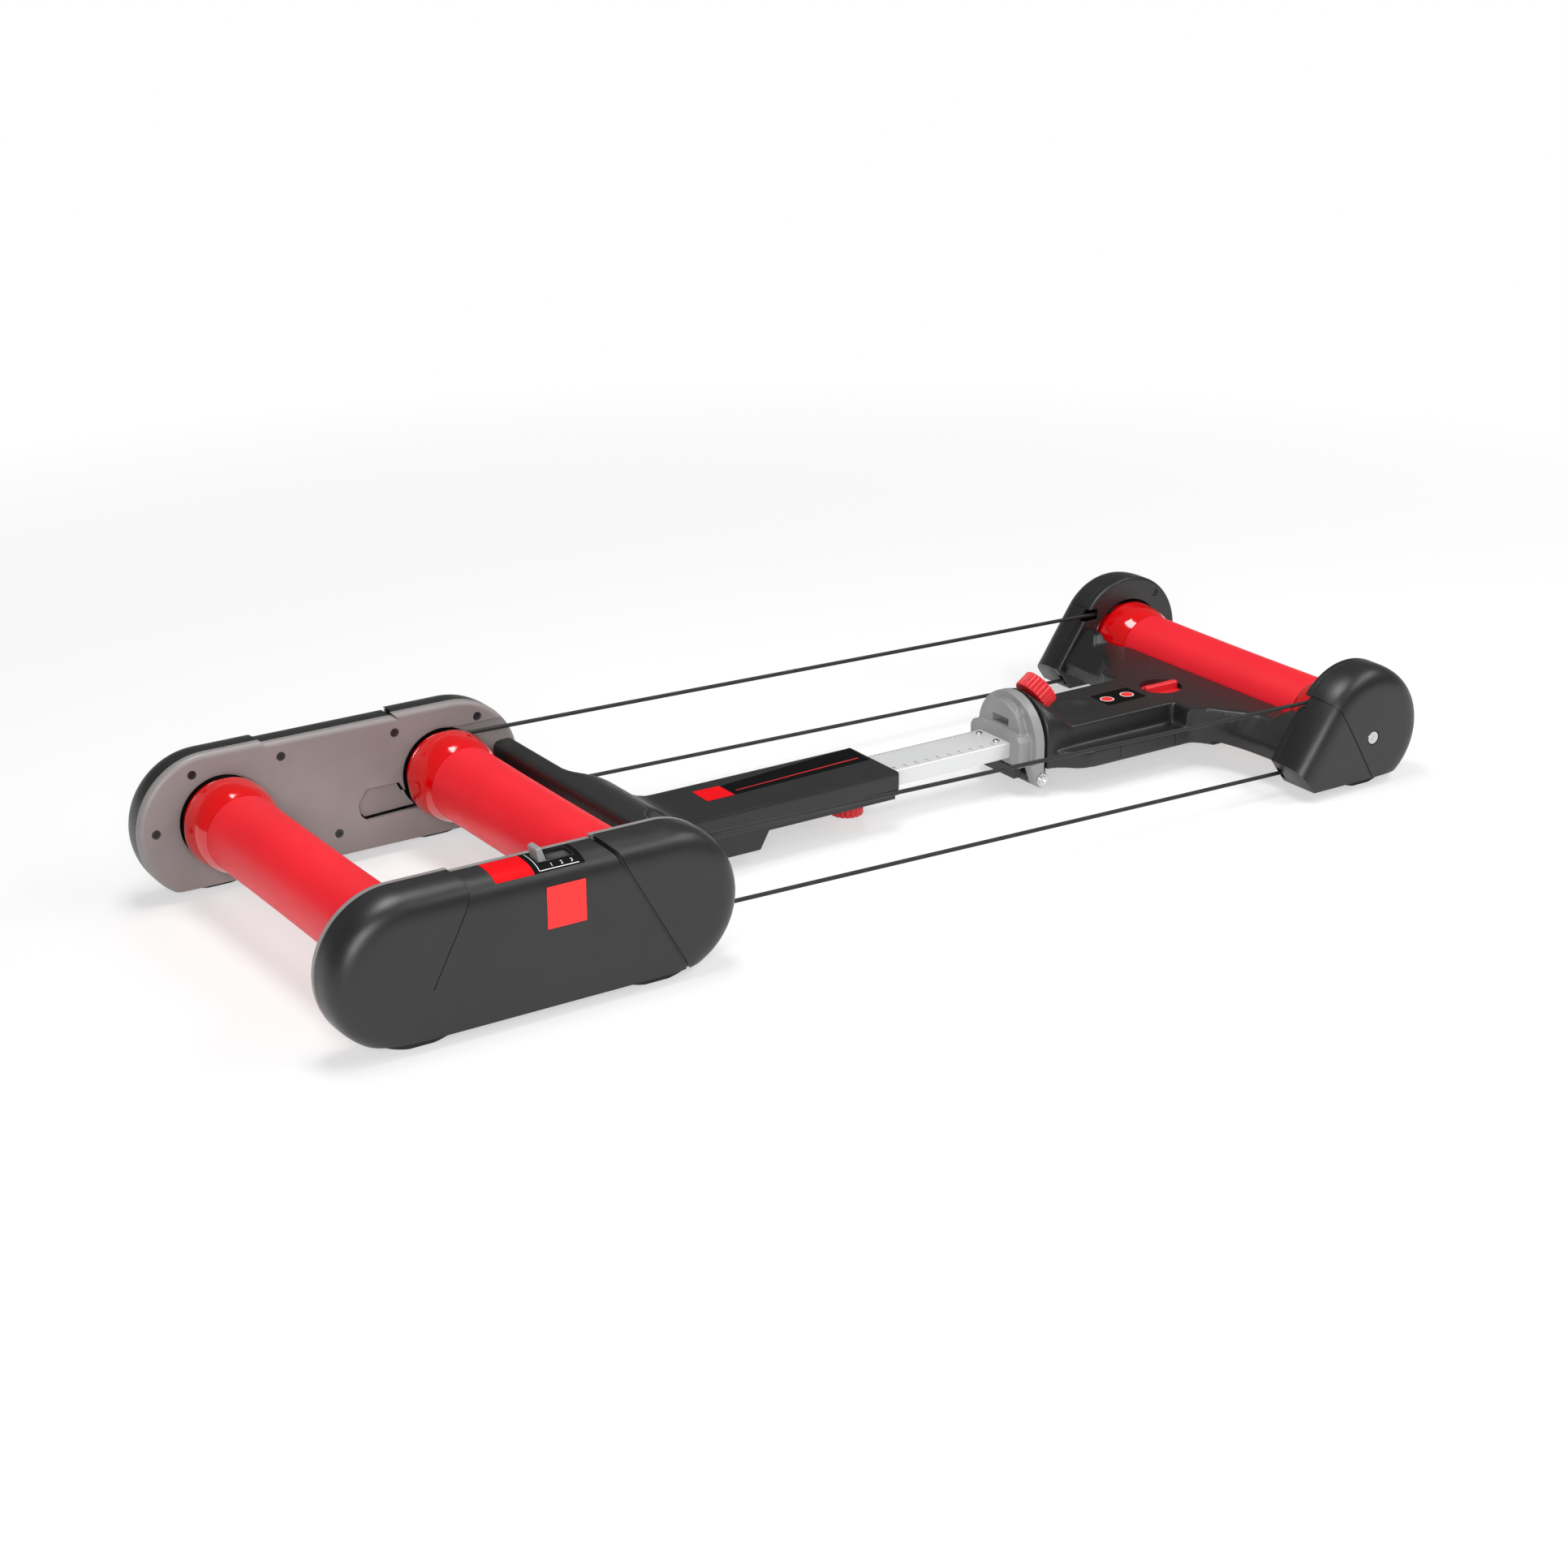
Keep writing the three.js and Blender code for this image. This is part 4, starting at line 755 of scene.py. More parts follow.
def numeral(text, size, centre, turn, low, high):
    """A plain digit, flat on the XY plane, as an outline raised from low to high."""
    data = bpy.data.curves.new("digit", "FONT")
    data.body = text
    data.size = size * MM
    data.extrude = (high - low) / 2 * MM
    data.align_x, data.align_y = "CENTER", "CENTER"
    source = linked("digit_text", data)
    bpy.context.view_layer.update()
    mesh = bpy.data.meshes.new_from_object(source.evaluated_get(bpy.context.evaluated_depsgraph_get()))
    bpy.data.objects.remove(source)
    place = Matrix.Translation(row(*centre, (low + high) / 2))
    mesh.transform(place @ Matrix.Rotation(radians(turn), 4, "Z"))
    return cleaned(mesh)


def rear_labels():
    """A red and a black sticker beside the lever, and a red badge on the face."""
    red = on_cover(on_top(*RED_STICKER, STICKER_OUTER, STICKER_INNER))
    dress(red, "cover_sticker_red", sticker_red, "rear_frame")
    dark = on_cover(on_top(*BLACK_STICKER, STICKER_OUTER, STICKER_INNER))
    cut(dark, prism(lever_slot(1), LABEL_LOW, TOP_Z + LABEL_DEEP, "xy"))
    dress(dark, "cover_sticker_black", sticker_black, "rear_frame")
    low = STICKER_OUTER + 1
    marks = on_top(*SCALE_LINE, low, STICKER_INNER - SCALE_STOP)
    join(marks, on_top(*SCALE_ROW, low, low + SCALE_WIDTH))
    for i, x in enumerate(SETTINGS):
        join(marks, numeral(str(i + 1), SETTING_SIZE, (x, low + SETTING_ROW), 0, LABEL_LOW, LABEL_HIGH))
    dress(on_cover(marks, PRINT_THICK, PRINT_THICK / 2), "cover_scale_marks", print_white, "rear_frame")
    outline = rounded(rectangle(*BADGE), BADGE_ROUND, 3)
    badge = prism(outline, -COVER_Y - BADGE_THICK, -COVER_Y + BADGE_SINK)
    dress(badge, "cover_badge", badge_red, "rear_frame")


# Resistance lever

LEVER_LEAN, LEVER_ARM_Y, LEVER_ARM_HALF = radians(14), -231.7, 3
LEVER_HUB_R, LEVER_HOLE_R, LEVER_HOLE_HALF, LEVER_ARM_LAP = 9, 3.3, 9, 17
TAB_TIP, TAB_BASE, TAB_HIGH, TAB_ROUND = 3, 4.5, 20, 2
GUARD_R, GUARD_THICK, GUARD_INSET, GUARD_ENDS = 47, 5, 2, (50, 90)


def lever_form():
    """The grey lever: its thumb tab above the slot, its guard below, its arm and its hub."""
    low, high = reach("resistance_lever")
    lean, (start, end) = LEVER_LEAN, GUARD_ENDS
    top = (high.z - lever_pivot.z - TAB_TIP * sin(lean)) / cos(lean)
    sides = [(-TAB_BASE, top - TAB_HIGH), (TAB_BASE, top - TAB_HIGH), (TAB_TIP, top), (-TAB_TIP, top)]
    tab = prism(rounded(sides, TAB_ROUND), low.y, high.y, round0=TAB_ROUND, round1=TAB_ROUND)
    ends = LEVER_ARM_Y - LEVER_ARM_HALF, LEVER_ARM_Y + LEVER_ARM_HALF
    arm = prism(rectangle(-TAB_TIP, TAB_TIP, 0, top - LEVER_ARM_LAP), *ends)
    guard = arc(0, 0, GUARD_R, start, end, 12) + arc(0, 0, GUARD_R - GUARD_THICK, end, start, 12)
    guard = prism(guard, low.y + GUARD_INSET, high.y - GUARD_INSET)
    lever = join(rod(LEVER_HUB_R, *ends, 0, 0), arm, guard, tab)
    hole = LEVER_ARM_Y - LEVER_HOLE_HALF, LEVER_ARM_Y + LEVER_HOLE_HALF
    cut(lever, rod(LEVER_HOLE_R, *hole, 0, 0))
    moved(lever, Vector((lever_pivot.x, 0, lever_pivot.z)), Matrix.Rotation(-lean, 4, "Y"))
    stand_in(lever, "resistance_lever", grey, "resistance_lever", edge=WIDE_EDGE, segments=3)


for side, s in SIDES:
    rear_plate(side, s)
    rear_cover(side, s)
rear_labels()
lever_form()

# Front housings

FRONT_PLATE_Y, FRONT_PLATE_BACK, FRONT_PLATE_WALL, FRONT_RIM = 193.2, 203.2, 3, 4
FRONT_COVER_BACK, FRONT_COVER_Y = 203.5, 247.4
FRONT_R, FRONT_END_Z, HEEL, TOE_X, FRONT_CROWN = 77, 65.5, (1110, 41), 1131, 30
FRONT_OPENING_R, FRONT_SKIRT_BEND, FRONT_SLOT_END, SLOT_LAP = 53, 75, 1170, 9
FRONT_SCREW_R, FRONT_SCREW_ANGLE = 66, radians(50)
FRONT_SCREW = ((4.6, -PAST, 2.2), (3.9, 0.9, 2.4), (2, -1, 1.9))
FRONT_SEAM = ((1137, 134), (1152.8, 119.9), (1158, 111), (1166.5, 102.5), (1190, 64.5), (1222, 10))
FRONT_SEAM_WIDTH, FRONT_SEAM_DEPTH, FRONT_BOSS_END, FRONT_HOLE_END = 1.6, 1.2, -2.8, -9
# The axle screw: its seat in the cover, its way through, its head, its shaft and its key hole
SCREW_SEAT, SCREW_WAY = (8.5, -2.7, PAST), (3.3, -20, PAST)
SCREW_HEAD, SCREW_SHAFT, SCREW_KEY = (7.5, -2.4, -0.3), (3, -9, -1), (2.6, -1.6, 2)
front_arc_x = reach("left_front_cover")[1].x - FRONT_R


def heel_angle():
    """Where the line to the heel leaves the front housing's arc, in degrees."""
    heel = Vector((HEEL[0] - front_arc_x, HEEL[1] - FRONT_END_Z))
    spread = degrees(acos(FRONT_R / heel.length))
    return degrees(atan2(heel.y, heel.x)) + 360 - spread


def front_outline(steps=48):
    floor_angle = -degrees(asin((FRONT_END_Z - FLOOR_Z) / FRONT_R))
    return ([(TOE_X, FLOOR_Z)]
            + arc(front_arc_x, FRONT_END_Z, FRONT_R, floor_angle, heel_angle(), steps) + [HEEL])


def front_skirt(steps=56):
    """The front outline carried on past the heel and the floor."""
    angle = heel_angle()
    past = (HEEL[0] - SKIRT * sin(radians(angle)), HEEL[1] + SKIRT * cos(radians(angle)))
    low_x = front_arc_x + FRONT_R * cos(radians(FRONT_SKIRT_BEND))
    low_z = FLOOR_Z - 2 * SKIRT
    return ([(past[0], low_z), (low_x, low_z)]
            + arc(front_arc_x, FRONT_END_Z, FRONT_R, -FRONT_SKIRT_BEND, angle, steps) + [past])


def front_plate(side, s):
    outline = front_outline()
    back = s * (FRONT_PLATE_BACK + PAST)
    near, wall = s * (FRONT_PLATE_Y - PAST), s * (FRONT_PLATE_Y + FRONT_PLATE_WALL)
    plate = prism(outline, s * FRONT_PLATE_Y, s * FRONT_PLATE_BACK, round0=FRONT_RIM, steps=5)
    cut(plate, prism(outline, wall, back, shrink=FRONT_RIM))
    opening = rod(FRONT_OPENING_R, near, back, front_axle.x, front_axle.z, LARGE_SIDES)
    cut(plate, cut(opening, below(FLOOR_Z + FRONT_RIM)))
    for way, start in ((1, near), (-1, wall)):
        z = front_axle.z + (front_axle.x - HEEL[0]) * -tan(slope) + way * BELT_RUN
        slot = rectangle(HEEL[0] - SLOT_LAP, FRONT_SLOT_END, z - BELT_SLOT, z + BELT_SLOT)
        cut(plate, prism(rounded(slot, SLOT_ROUND), start, back))
    x = front_arc_x + FRONT_SCREW_R * cos(FRONT_SCREW_ANGLE)
    z = FRONT_END_Z + FRONT_SCREW_R * sin(FRONT_SCREW_ANGLE)
    head = plate_screw(plate, FRONT_SCREW, s, FRONT_PLATE_Y, x, z)
    stand_in(plate, f"{side}_front_plate", black, "front_frame", edge=EDGE)
    dress(head, f"{side}_front_plate_screw", dark_steel, "front_frame", edge=SMALL_EDGE)


def front_shell(s, shrink=0, back=FRONT_COVER_BACK, face=FRONT_COVER_Y):
    start = FRONT_COVER_BACK + CROWN_START
    return crowned(front_skirt(), s, back, start, face, FRONT_CROWN, shrink)


def front_cover(side, s):
    back, face, outline = FRONT_COVER_BACK, FRONT_COVER_Y, front_outline(56)
    cover = meet(front_shell(s), prism(outline, s * (back - 1), s * OUTSIDE))
    core = front_shell(s, FRONT_SEAM_DEPTH, back - GROOVE_LAP, face - FRONT_SEAM_DEPTH)
    cut(cover, groove(core, FRONT_SEAM, FRONT_SEAM_WIDTH))
    inner = front_shell(s, COVER_WALL, back - PAST, face - COVER_WALL)
    cut(cover, meet(inner, prism(outline, s * (back - GROOVE_LAP), s * OUTSIDE, shrink=COVER_WALL)))
    x, z = front_axle.x, front_axle.z
    axle_seat(cover, s, face, x, z, FRONT_BOSS_END, FRONT_HOLE_END)
    cut(cover, sunk(s, face, *SCREW_SEAT, x, z), sunk(s, face, *SCREW_WAY, x, z, THIN_SIDES))
    bake(round_edges(cover, EDGE, 2))
    stand_in(cover, f"{side}_front_cover", black, "front_frame")
    smooth_as(cover, front_shell(s))
    screw = join(sunk(s, face, *SCREW_HEAD, x, z), sunk(s, face, *SCREW_SHAFT, x, z, THIN_SIDES))
    cut(screw, sunk(s, face, *SCREW_KEY, x, z, HEXAGON))
    stand_in(screw, f"{side}_axle_screw", steel, "front_frame", edge=EDGE)


for side, s in SIDES:
    front_plate(side, s)
    front_cover(side, s)

# Rear beam: crossbar and neck, with its labels

BAR_START, BAR_END, BAR_TOP, BAR_LOW, BAR_ROUND, BAR_WALL = 322, 346, 105, 35, 8, 3
NECK_END, NECK_HALF, NECK_TOP, NECK_LOW, RAMP_END, NECK_BEND = 692, 48.75, 69, 41, 430, 45
RAIL_START, RAIL_HALF, RAIL_LOW, RAIL_TOP, RAIL_WALL = 480, 28.65, 43.5, 62.5, 2.5
NECK_GROOVE, NECK_GROOVE_LIFT, NECK_GROOVE_DEPTH, NECK_GROOVE_START = 1.2, 7, 0.9, 405
GAP, BELT_ROOM, NECK_GRID, NECK_ROUNDS, NECK_PULL, NECK_EASE = 0.3, 5.2, 2.2, 9, 15, 30
NECK_RED = ((469, -5), (504, -5), (504, 27), (470, 28))
NECK_BLACK = ((504.2, -5), (688, 2.4), (690, 46), (504.2, 26))
NECK_LINE, LINE_BASE, LINE_THICK = ((512, 4.5), (680, 12.6), (680, 14.6), (512, 6)), 0.2, 0.12


def neck_form():
    mid, end = (BAR_END + RAMP_END) / 2, NECK_END + OVER
    side = arc(BAR_START + BAR_ROUND, BAR_TOP - BAR_ROUND, BAR_ROUND, 180, 90, 6)[::-1]
    side += [(BAR_START, BAR_LOW), (BAR_END, BAR_LOW), (BAR_END, NECK_LOW), (end, NECK_LOW),
             (end, NECK_TOP)]
    side += curve((RAMP_END, NECK_TOP), (mid, NECK_TOP), (mid, BAR_TOP), (BAR_END, BAR_TOP))
    end_y = PLATE_Y - GAP
    plan = [(BAR_START, end_y + OVER), (BAR_END, end_y + OVER)]
    plan += curve((BAR_END, NECK_HALF + NECK_BEND), (BAR_END, NECK_HALF + NECK_PULL),
                  (BAR_END + NECK_EASE, NECK_HALF), (BAR_END + NECK_BEND, NECK_HALF))
    plan += [(end, NECK_HALF)]
    beam = prism(side, -end_y - OVER, end_y + OVER)
    meet(beam, prism(both_halves(plan), BAR_LOW - OVER, BAR_TOP + OVER, "xy"))
    moulded(beam, NECK_GRID, NECK_ROUNDS)
    meet(beam, box(BAR_START - OVER, NECK_END, -end_y, end_y, 0, FAR))
    room = RAIL_HALF + GAP
    cut(beam, box(BAR_END + BAR_WALL, FAR, -room, room, 0, RAIL_TOP + GAP))
    belt_z = middle_axle.z - BELT_RUN
    groove_z = NECK_LOW + NECK_GROOVE_LIFT
    for s in (1, -1):
        y = s * BELT_Y
        cut(beam, box(BAR_START - OVER, BAR_END + OVER, y - BELT_ROOM, y + BELT_ROOM, 0,
                      belt_z + BELT_ROOM))
        y0, y1 = s * (NECK_HALF - NECK_GROOVE_DEPTH), s * (NECK_HALF + 1)
        cut(beam, box(NECK_GROOVE_START, FAR, y0, y1, groove_z, groove_z + NECK_GROOVE))
    stand_in(beam, "rear_beam", black, "rear_frame")


def flat_label(name, finish, outline, low, body, thick=0.25, corner=0):
    """A thin label lying on a level surface."""
    outline = rounded(outline, corner, 4) if corner else outline
    dress(prism(outline, low, low + thick, "xy"), name, finish, body)


neck_form()
flat_label("neck_label_red", sticker_red, NECK_RED, NECK_TOP, "rear_frame")
flat_label("neck_label_black", sticker_black, NECK_BLACK, NECK_TOP, "rear_frame")
flat_label("neck_label_line", knob_red, NECK_LINE, NECK_TOP + LINE_BASE, "rear_frame", LINE_THICK)

# Rail with its printed scale, and its screws

RAIL_ROUND, PRINT_HIGH = 2.6, 0.1
SCALE_COUNT, SCALE_START, SCALE_STEP, SCALE_FIRST = 10, 706, 15.2, 20
DIGIT_SIZE, DIGIT_Y, LINE_HALF, LINE_ENDS = 4.4, -19.5, 0.25, (-25.5, -22.5)
DASHES, DASH_START, DASH_STEP, DASH_LONG, DASH_ENDS = 3, -6.2, 4.9, 3.4, (24.2, 24.8)
SCREW_SOCKET_R, SCREW_SOCKET, SCREW_RIM, SCREW_DOME, SCREW_STEPS = 1.9, 0.4, 0.35, 0.7, 8


def rail_section(grow, corner):
    middle, half = (RAIL_LOW + RAIL_TOP) / 2, (RAIL_TOP - RAIL_LOW) / 2
    wide, high = RAIL_HALF + grow, half + grow
    return rounded(rectangle(-wide, wide, middle - high, middle + high), corner, 5)


def rail_form():
    end = reach("rail")[1].x
    rail = prism(rail_section(0, RAIL_ROUND), RAIL_START, end, "yz")
    cut(rail, prism(rail_section(-RAIL_WALL, 1), RAIL_START - PAST, end + PAST, "yz"))
    stand_in(rail, "rail", rail_metal, "rail", edge=SMALL_EDGE, angle=50)
    top = RAIL_TOP, RAIL_TOP + PRINT_HIGH
    marks = []
    for i in range(SCALE_COUNT):
        x = SCALE_START + SCALE_STEP * i
        marks.append(numeral(str(SCALE_FIRST - i), DIGIT_SIZE, (x, DIGIT_Y), 90, *top))
        marks.append(box(x - LINE_HALF, x + LINE_HALF, *LINE_ENDS, *top))
        for k in range(DASHES):
            start = x + DASH_START + k * DASH_STEP
            marks.append(box(start, start + DASH_LONG, *DASH_ENDS, *top))
    dress(join(*marks), "rail_scale", print_dark, "rail")


def rail_screw(side):
    """A domed screw head with a hexagon socket."""
    low, high = reach("rail_screw_" + side)
    middle, radius, height = (low + high) / 2, (high.x - low.x) / 2, high.z - low.z
    centre = 0.01
    profile = [(centre, 0), (radius, 0), (radius, height * SCREW_RIM)]
    for i in range(1, SCREW_STEPS):
        angle = QUARTER * i / SCREW_STEPS
        profile.append((radius * cos(angle) ** SCREW_DOME,
                        height * (SCREW_RIM + (1 - SCREW_RIM) * sin(angle))))
    profile.append((centre, height))
    head = lathe(profile, Vector((0, 0, 0)), MIDDLE_SIDES, turn=LEVEL)
    cut(head, post(SCREW_SOCKET_R, height * SCREW_SOCKET, height + PAST, 0, 0, HEXAGON))
    moved(head, Vector((middle.x, middle.y, low.z)))
    stand_in(head, "rail_screw_" + side, steel, "rail", edge=FINE_EDGE, crease=40)


rail_form()
for side, s in SIDES:
    rail_screw(side)

# Hinge bracket and its bolt

BRACKET_START, BRACKET_RAMP, BLOCK_END, BRACKET_FACE = 862, 870, 881, 893
BLOCK_HALF, BLOCK_TOP_HALF, BLOCK_LOW, BLOCK_SIDE, BLOCK_TOP, RAIL_ROOM = 46.5, 41, 36, 66, 72, 500
SMALL_DOME_R, DOME_R, DOME_Z, DOME_LOW, RIB_HALF, RIB_TOP = 38, 55, 58, 31, 30, 104
WINDOW, WEB_REAR, WEB_SIDE, BRACKET_GRID, BRACKET_ROUNDS = (-15, 15, 76, 86), 873, 38, 1.2, 5
KNUCKLE_HALF, KNUCKLE_PLAY, LUG_R, LUG_PLAY, PIN_R, WEB_LOW = 40, 0.55, 9.5, 0.5, 4, 24
RIB_RUN, RIB_DROP, RIB_FALL = 6, 8, 24
# The bolt's flange, head and key hole: the radius, and the ends from the bolt's outer end
BOLT_FLANGE, BOLT_HEAD, BOLT_KEY, BOLT_EDGE = (7.5, 4, 2.4), (5.2, 3, 0), (2.8, -1, 2.2), 0.6


def dome_outline(radius, centre_z, low_z, steps=40):
    return [(-radius, low_z), (radius, low_z)] + arc(0, centre_z, radius, 0, 180, steps)


def bracket_form():
    x, z = hinge_pin.x, hinge_pin.z
    chamfer = [(-BLOCK_HALF, BLOCK_LOW), (BLOCK_HALF, BLOCK_LOW), (BLOCK_HALF, BLOCK_SIDE),
               (BLOCK_TOP_HALF, BLOCK_TOP), (-BLOCK_TOP_HALF, BLOCK_TOP), (-BLOCK_HALF, BLOCK_SIDE)]
    small = dome_outline(SMALL_DOME_R, BLOCK_SIDE, BLOCK_LOW)
    large = dome_outline(DOME_R, DOME_Z, DOME_LOW)
    bracket = prism(chamfer, BRACKET_START, BLOCK_END + 1, "yz")
    rib = [(BRACKET_RAMP, BLOCK_LOW), (BLOCK_END + 1, BLOCK_LOW), (BLOCK_END + 1, RIB_TOP),
           (BRACKET_RAMP + RIB_RUN, RIB_TOP - RIB_DROP), (BRACKET_RAMP, RIB_TOP - RIB_FALL)]
    join(bracket, prism(small, BRACKET_RAMP, BLOCK_END + 1, "yz"),
         prism(large, BLOCK_END - 1, BRACKET_FACE, "yz"), prism(rib, -RIB_HALF, RIB_HALF))
    web = [(x - LUG_R, z), (BRACKET_FACE, z), (BRACKET_FACE, WEB_SIDE), (WEB_REAR, WEB_SIDE)]
    for s in (1, -1):
        ends = s * (KNUCKLE_HALF + KNUCKLE_PLAY), s * DOME_R
        join(bracket, join(rod(LUG_R, *ends, x, z), prism(web, *ends)))
    moulded(bracket, BRACKET_GRID, BRACKET_ROUNDS)
    end = reach("rail")[1].x + GAP
    wide, room = RAIL_HALF + GAP, KNUCKLE_HALF + GAP
    cut(bracket, box(RAIL_ROOM, end, -wide, wide, RAIL_LOW - GAP, RAIL_TOP + GAP),
        prism(rectangle(*WINDOW), BRACKET_START - OVER, BLOCK_END + 1, "yz"),
        rod(LUG_R + LUG_PLAY, -room, room, x, z), rod(PIN_R + GAP, -FAR, FAR, x, z),
        box(BRACKET_FACE, FAR, -FAR, FAR, WEB_LOW, FAR))
    stand_in(bracket, "hinge_bracket", grey, "rail")


def bolt_form():
    low, high = reach("hinge_bolt")

    def turned(size, *edges):
        radius, start, end = size
        return rod(radius, low.y + start, low.y + end, hinge_pin.x, hinge_pin.z, *edges)

    bolt = turned((PIN_R, 1, high.y - low.y), MIDDLE_SIDES, 0, BOLT_EDGE)
    join(bolt, turned(BOLT_FLANGE, WIDE_SIDES, 0, EDGE), turned(BOLT_HEAD, WIDE_SIDES, 0, WIDE_EDGE))
    cut(bolt, turned(BOLT_KEY, HEXAGON))
    stand_in(bolt, "hinge_bolt", steel, "rail", edge=FINE_EDGE)


bracket_form()
bolt_form()

# Ridged knobs

FOLD_TILT = Matrix.Rotation(radians(55), 4, "Y")
FOLD_KNOB_R, FOLD_KNOB_HALF, FOLD_DISH_R, FOLD_DISH_Z, FOLD_SHAFT = 23, 10, 14, 8.6, 24
FOLD_RIDGES, RIDGE_POWER, KNOB_EDGE = 24, 2.2, 0.3
CLAMP_KNOB_R, CLAMP_DISH_R, CLAMP_DISH, CLAMP_RIDGES, BELLY_LOW = 19, 12, 1.2, 18, 35
SHAFT_R, DECK_TOP, FLOAT_R, FLOAT_DEPTH, FLOAT_DISC = 4.5, 75, 25.5, 8.5, 2.5
GRIP_HALF, GRIP_CORNER, GRIP_ROUND, FLOAT_EDGE, FLOAT_PLAY, RIDGE_STEPS = 4.6, 4.4, 2.6, 0.8, 0.5, 14


def ridged(radius, low, high, ridges, deep=1.7, rim=1.6, steps=5):
    """A knob drawn about Z, with rounded ridges round it."""
    levels = [(rim * (1 - sin(QUARTER * i / steps)),
               low + rim * (1 - cos(QUARTER * i / steps))) for i in range(steps + 1)]
    levels += [(depth, low + high - z) for depth, z in reversed(levels)]
    rings, count = [], ridges * RIDGE_STEPS
    for depth, z in levels:
        ring = []
        for i in range(count):
            angle = 2 * pi * i / count
            wave = 0.5 - 0.5 * cos(ridges * angle)
            reach_out = radius - depth - deep * wave ** RIDGE_POWER
            ring.append((reach_out * cos(angle), reach_out * sin(angle), z))
        rings.append(ring)
    return loft(rings)


def fold_knob_form():
    knob = ridged(FOLD_KNOB_R, -FOLD_KNOB_HALF, FOLD_KNOB_HALF, FOLD_RIDGES)
    cut(knob, post(FOLD_DISH_R, FOLD_DISH_Z, FOLD_DISH_Z + OVER, 0, 0, WIDE_SIDES))
    join(knob, post(SHAFT_R, -FOLD_SHAFT, 0, 0, 0, SMALL_SIDES))
    moved(knob, fold_knob_place, FOLD_TILT)
    stand_in(knob, "fold_knob", knob_red, "fold_knob", crease=40)


def clamp_knob_form():
    low, high = reach("clamp_knob")
    knob = ridged(CLAMP_KNOB_R, low.z, BELLY_LOW - GAP, CLAMP_RIDGES)
    join(knob, post(SHAFT_R, low.z + PAST, high.z, 0, 0, SMALL_SIDES))
    cut(knob, post(CLAMP_DISH_R, low.z - PAST, low.z + CLAMP_DISH, 0, 0, WIDE_SIDES))
    moved(knob, Vector((clamp_knob_place.x, 0, 0)))
    stand_in(knob, "clamp_knob", knob_red, "clamp_knob", crease=40)


def float_knob_form():
    low, high = reach("float_lock_knob")
    floor_z = DECK_TOP - FLOAT_DEPTH + GAP
    radius = FLOAT_R - FLOAT_PLAY
    grip = radius - FLOAT_EDGE
    knob = post(radius, floor_z, floor_z + FLOAT_DISC, 0, 0, LARGE_SIDES, 0, FLOAT_EDGE)
    outline = rounded(rectangle(-grip, grip, -GRIP_HALF, GRIP_HALF), GRIP_CORNER)
    join(knob, prism(outline, floor_z + 1, high.z, "xy", 0, GRIP_ROUND),
         post(SHAFT_R, low.z, floor_z + 1, 0, 0, SMALL_SIDES))
    moved(knob, Vector((float_knob_place.x, 0, 0)))
    stand_in(knob, "float_lock_knob", knob_red, "float_lock", edge=KNOB_EDGE)


fold_knob_form()
clamp_knob_form()
float_knob_form()

# Front beam with its labels

BEAM_START, BEAM_WIDE, BEAM_LOW, LEDGE_Z, BEAM_HALF, BEAM_FRONT = 897, 945, 30, 50, 78, 1171.5
DECK_HALF, HUMP_END, ARM_START, ARM_REAR, ARM_FRONT = 52, 937, 1085, 1120, 1163
ARM_STEP, ARM_LOW, ARM_Y, ARM_INNER_Y = 148, 36, FRONT_PLATE_Y - GAP, 98
ARM_TOP, ARM_BLOCK, ARM_SLOPE_Z, ARM_LEAN, LEAN_START, LEAN_FULL = 86, 20, 74, 31, 90, 150
DISH_X, DISH_R, DISH_DEPTH, DISH_STEPS, DISH_SIDES, CLEAR = 980, 28, 7, 13, 60, 20
DECK_LABEL = ((1015, -19.5), (1073, -18), (1073, 18.8), (1017, 18))
BEAM_GRID, BEAM_ROUNDS, ARM_ROUND, ARM_SET_BACK, SEAM_DEEP, WEB_LONG = 2, 14, 9, 0.5, 0.6, 9
HUMP_POWER, DECK_POWER = 2, 6
SEAM_PLACES, SEAM_HALF, BELLY_HALF, BELLY_TOP, BELLY_WALL = (985, 1068), 0.35, 47, 64, 14
SHAFT_HOLE_R, SHAFT_HOLE_LOW, KNOB_SEAT_R, KNOB_SEAT_LOW, KNOB_SEAT_TOP = 4.8, -34, 24, -10.3, 60
FLARE_START, FLARE_PULL, FRONT_CUT, SEAM_END, SEAM_TOP = 1098, 23, 800, 90, LEDGE_Z + 2
FLARE = curve((ARM_START, BEAM_HALF), (FLARE_START, BEAM_HALF),
              (ARM_REAR, BEAM_HALF + FLARE_PULL), (ARM_REAR, ARM_Y), steps=16)


def hump(steps=16, across_steps=40):
    """The rise from the deck to the hinge face."""
    rings = []
    root = (BEAM_LOW + LEDGE_Z) / 2
    for i in range(steps + 1):
        share = i / steps
        x = BEAM_START + share * (HUMP_END + 2 - BEAM_START)
        half = DOME_R + share * (DECK_HALF - DOME_R)
        power = HUMP_POWER + (DECK_POWER - HUMP_POWER) * share
        rise = DOME_R + share * (DECK_TOP - DOME_Z - DOME_R)
        ring = [(x, -half, root), (x, half, root)]
        for j in range(across_steps + 1):
            angle = pi * j / across_steps
            across = copysign(abs(cos(angle)) ** (2 / power), cos(angle))
            ring.append((x, half * across, DOME_Z + rise * sin(angle) ** (2 / power)))
        rings.append(ring)
    return loft(rings)


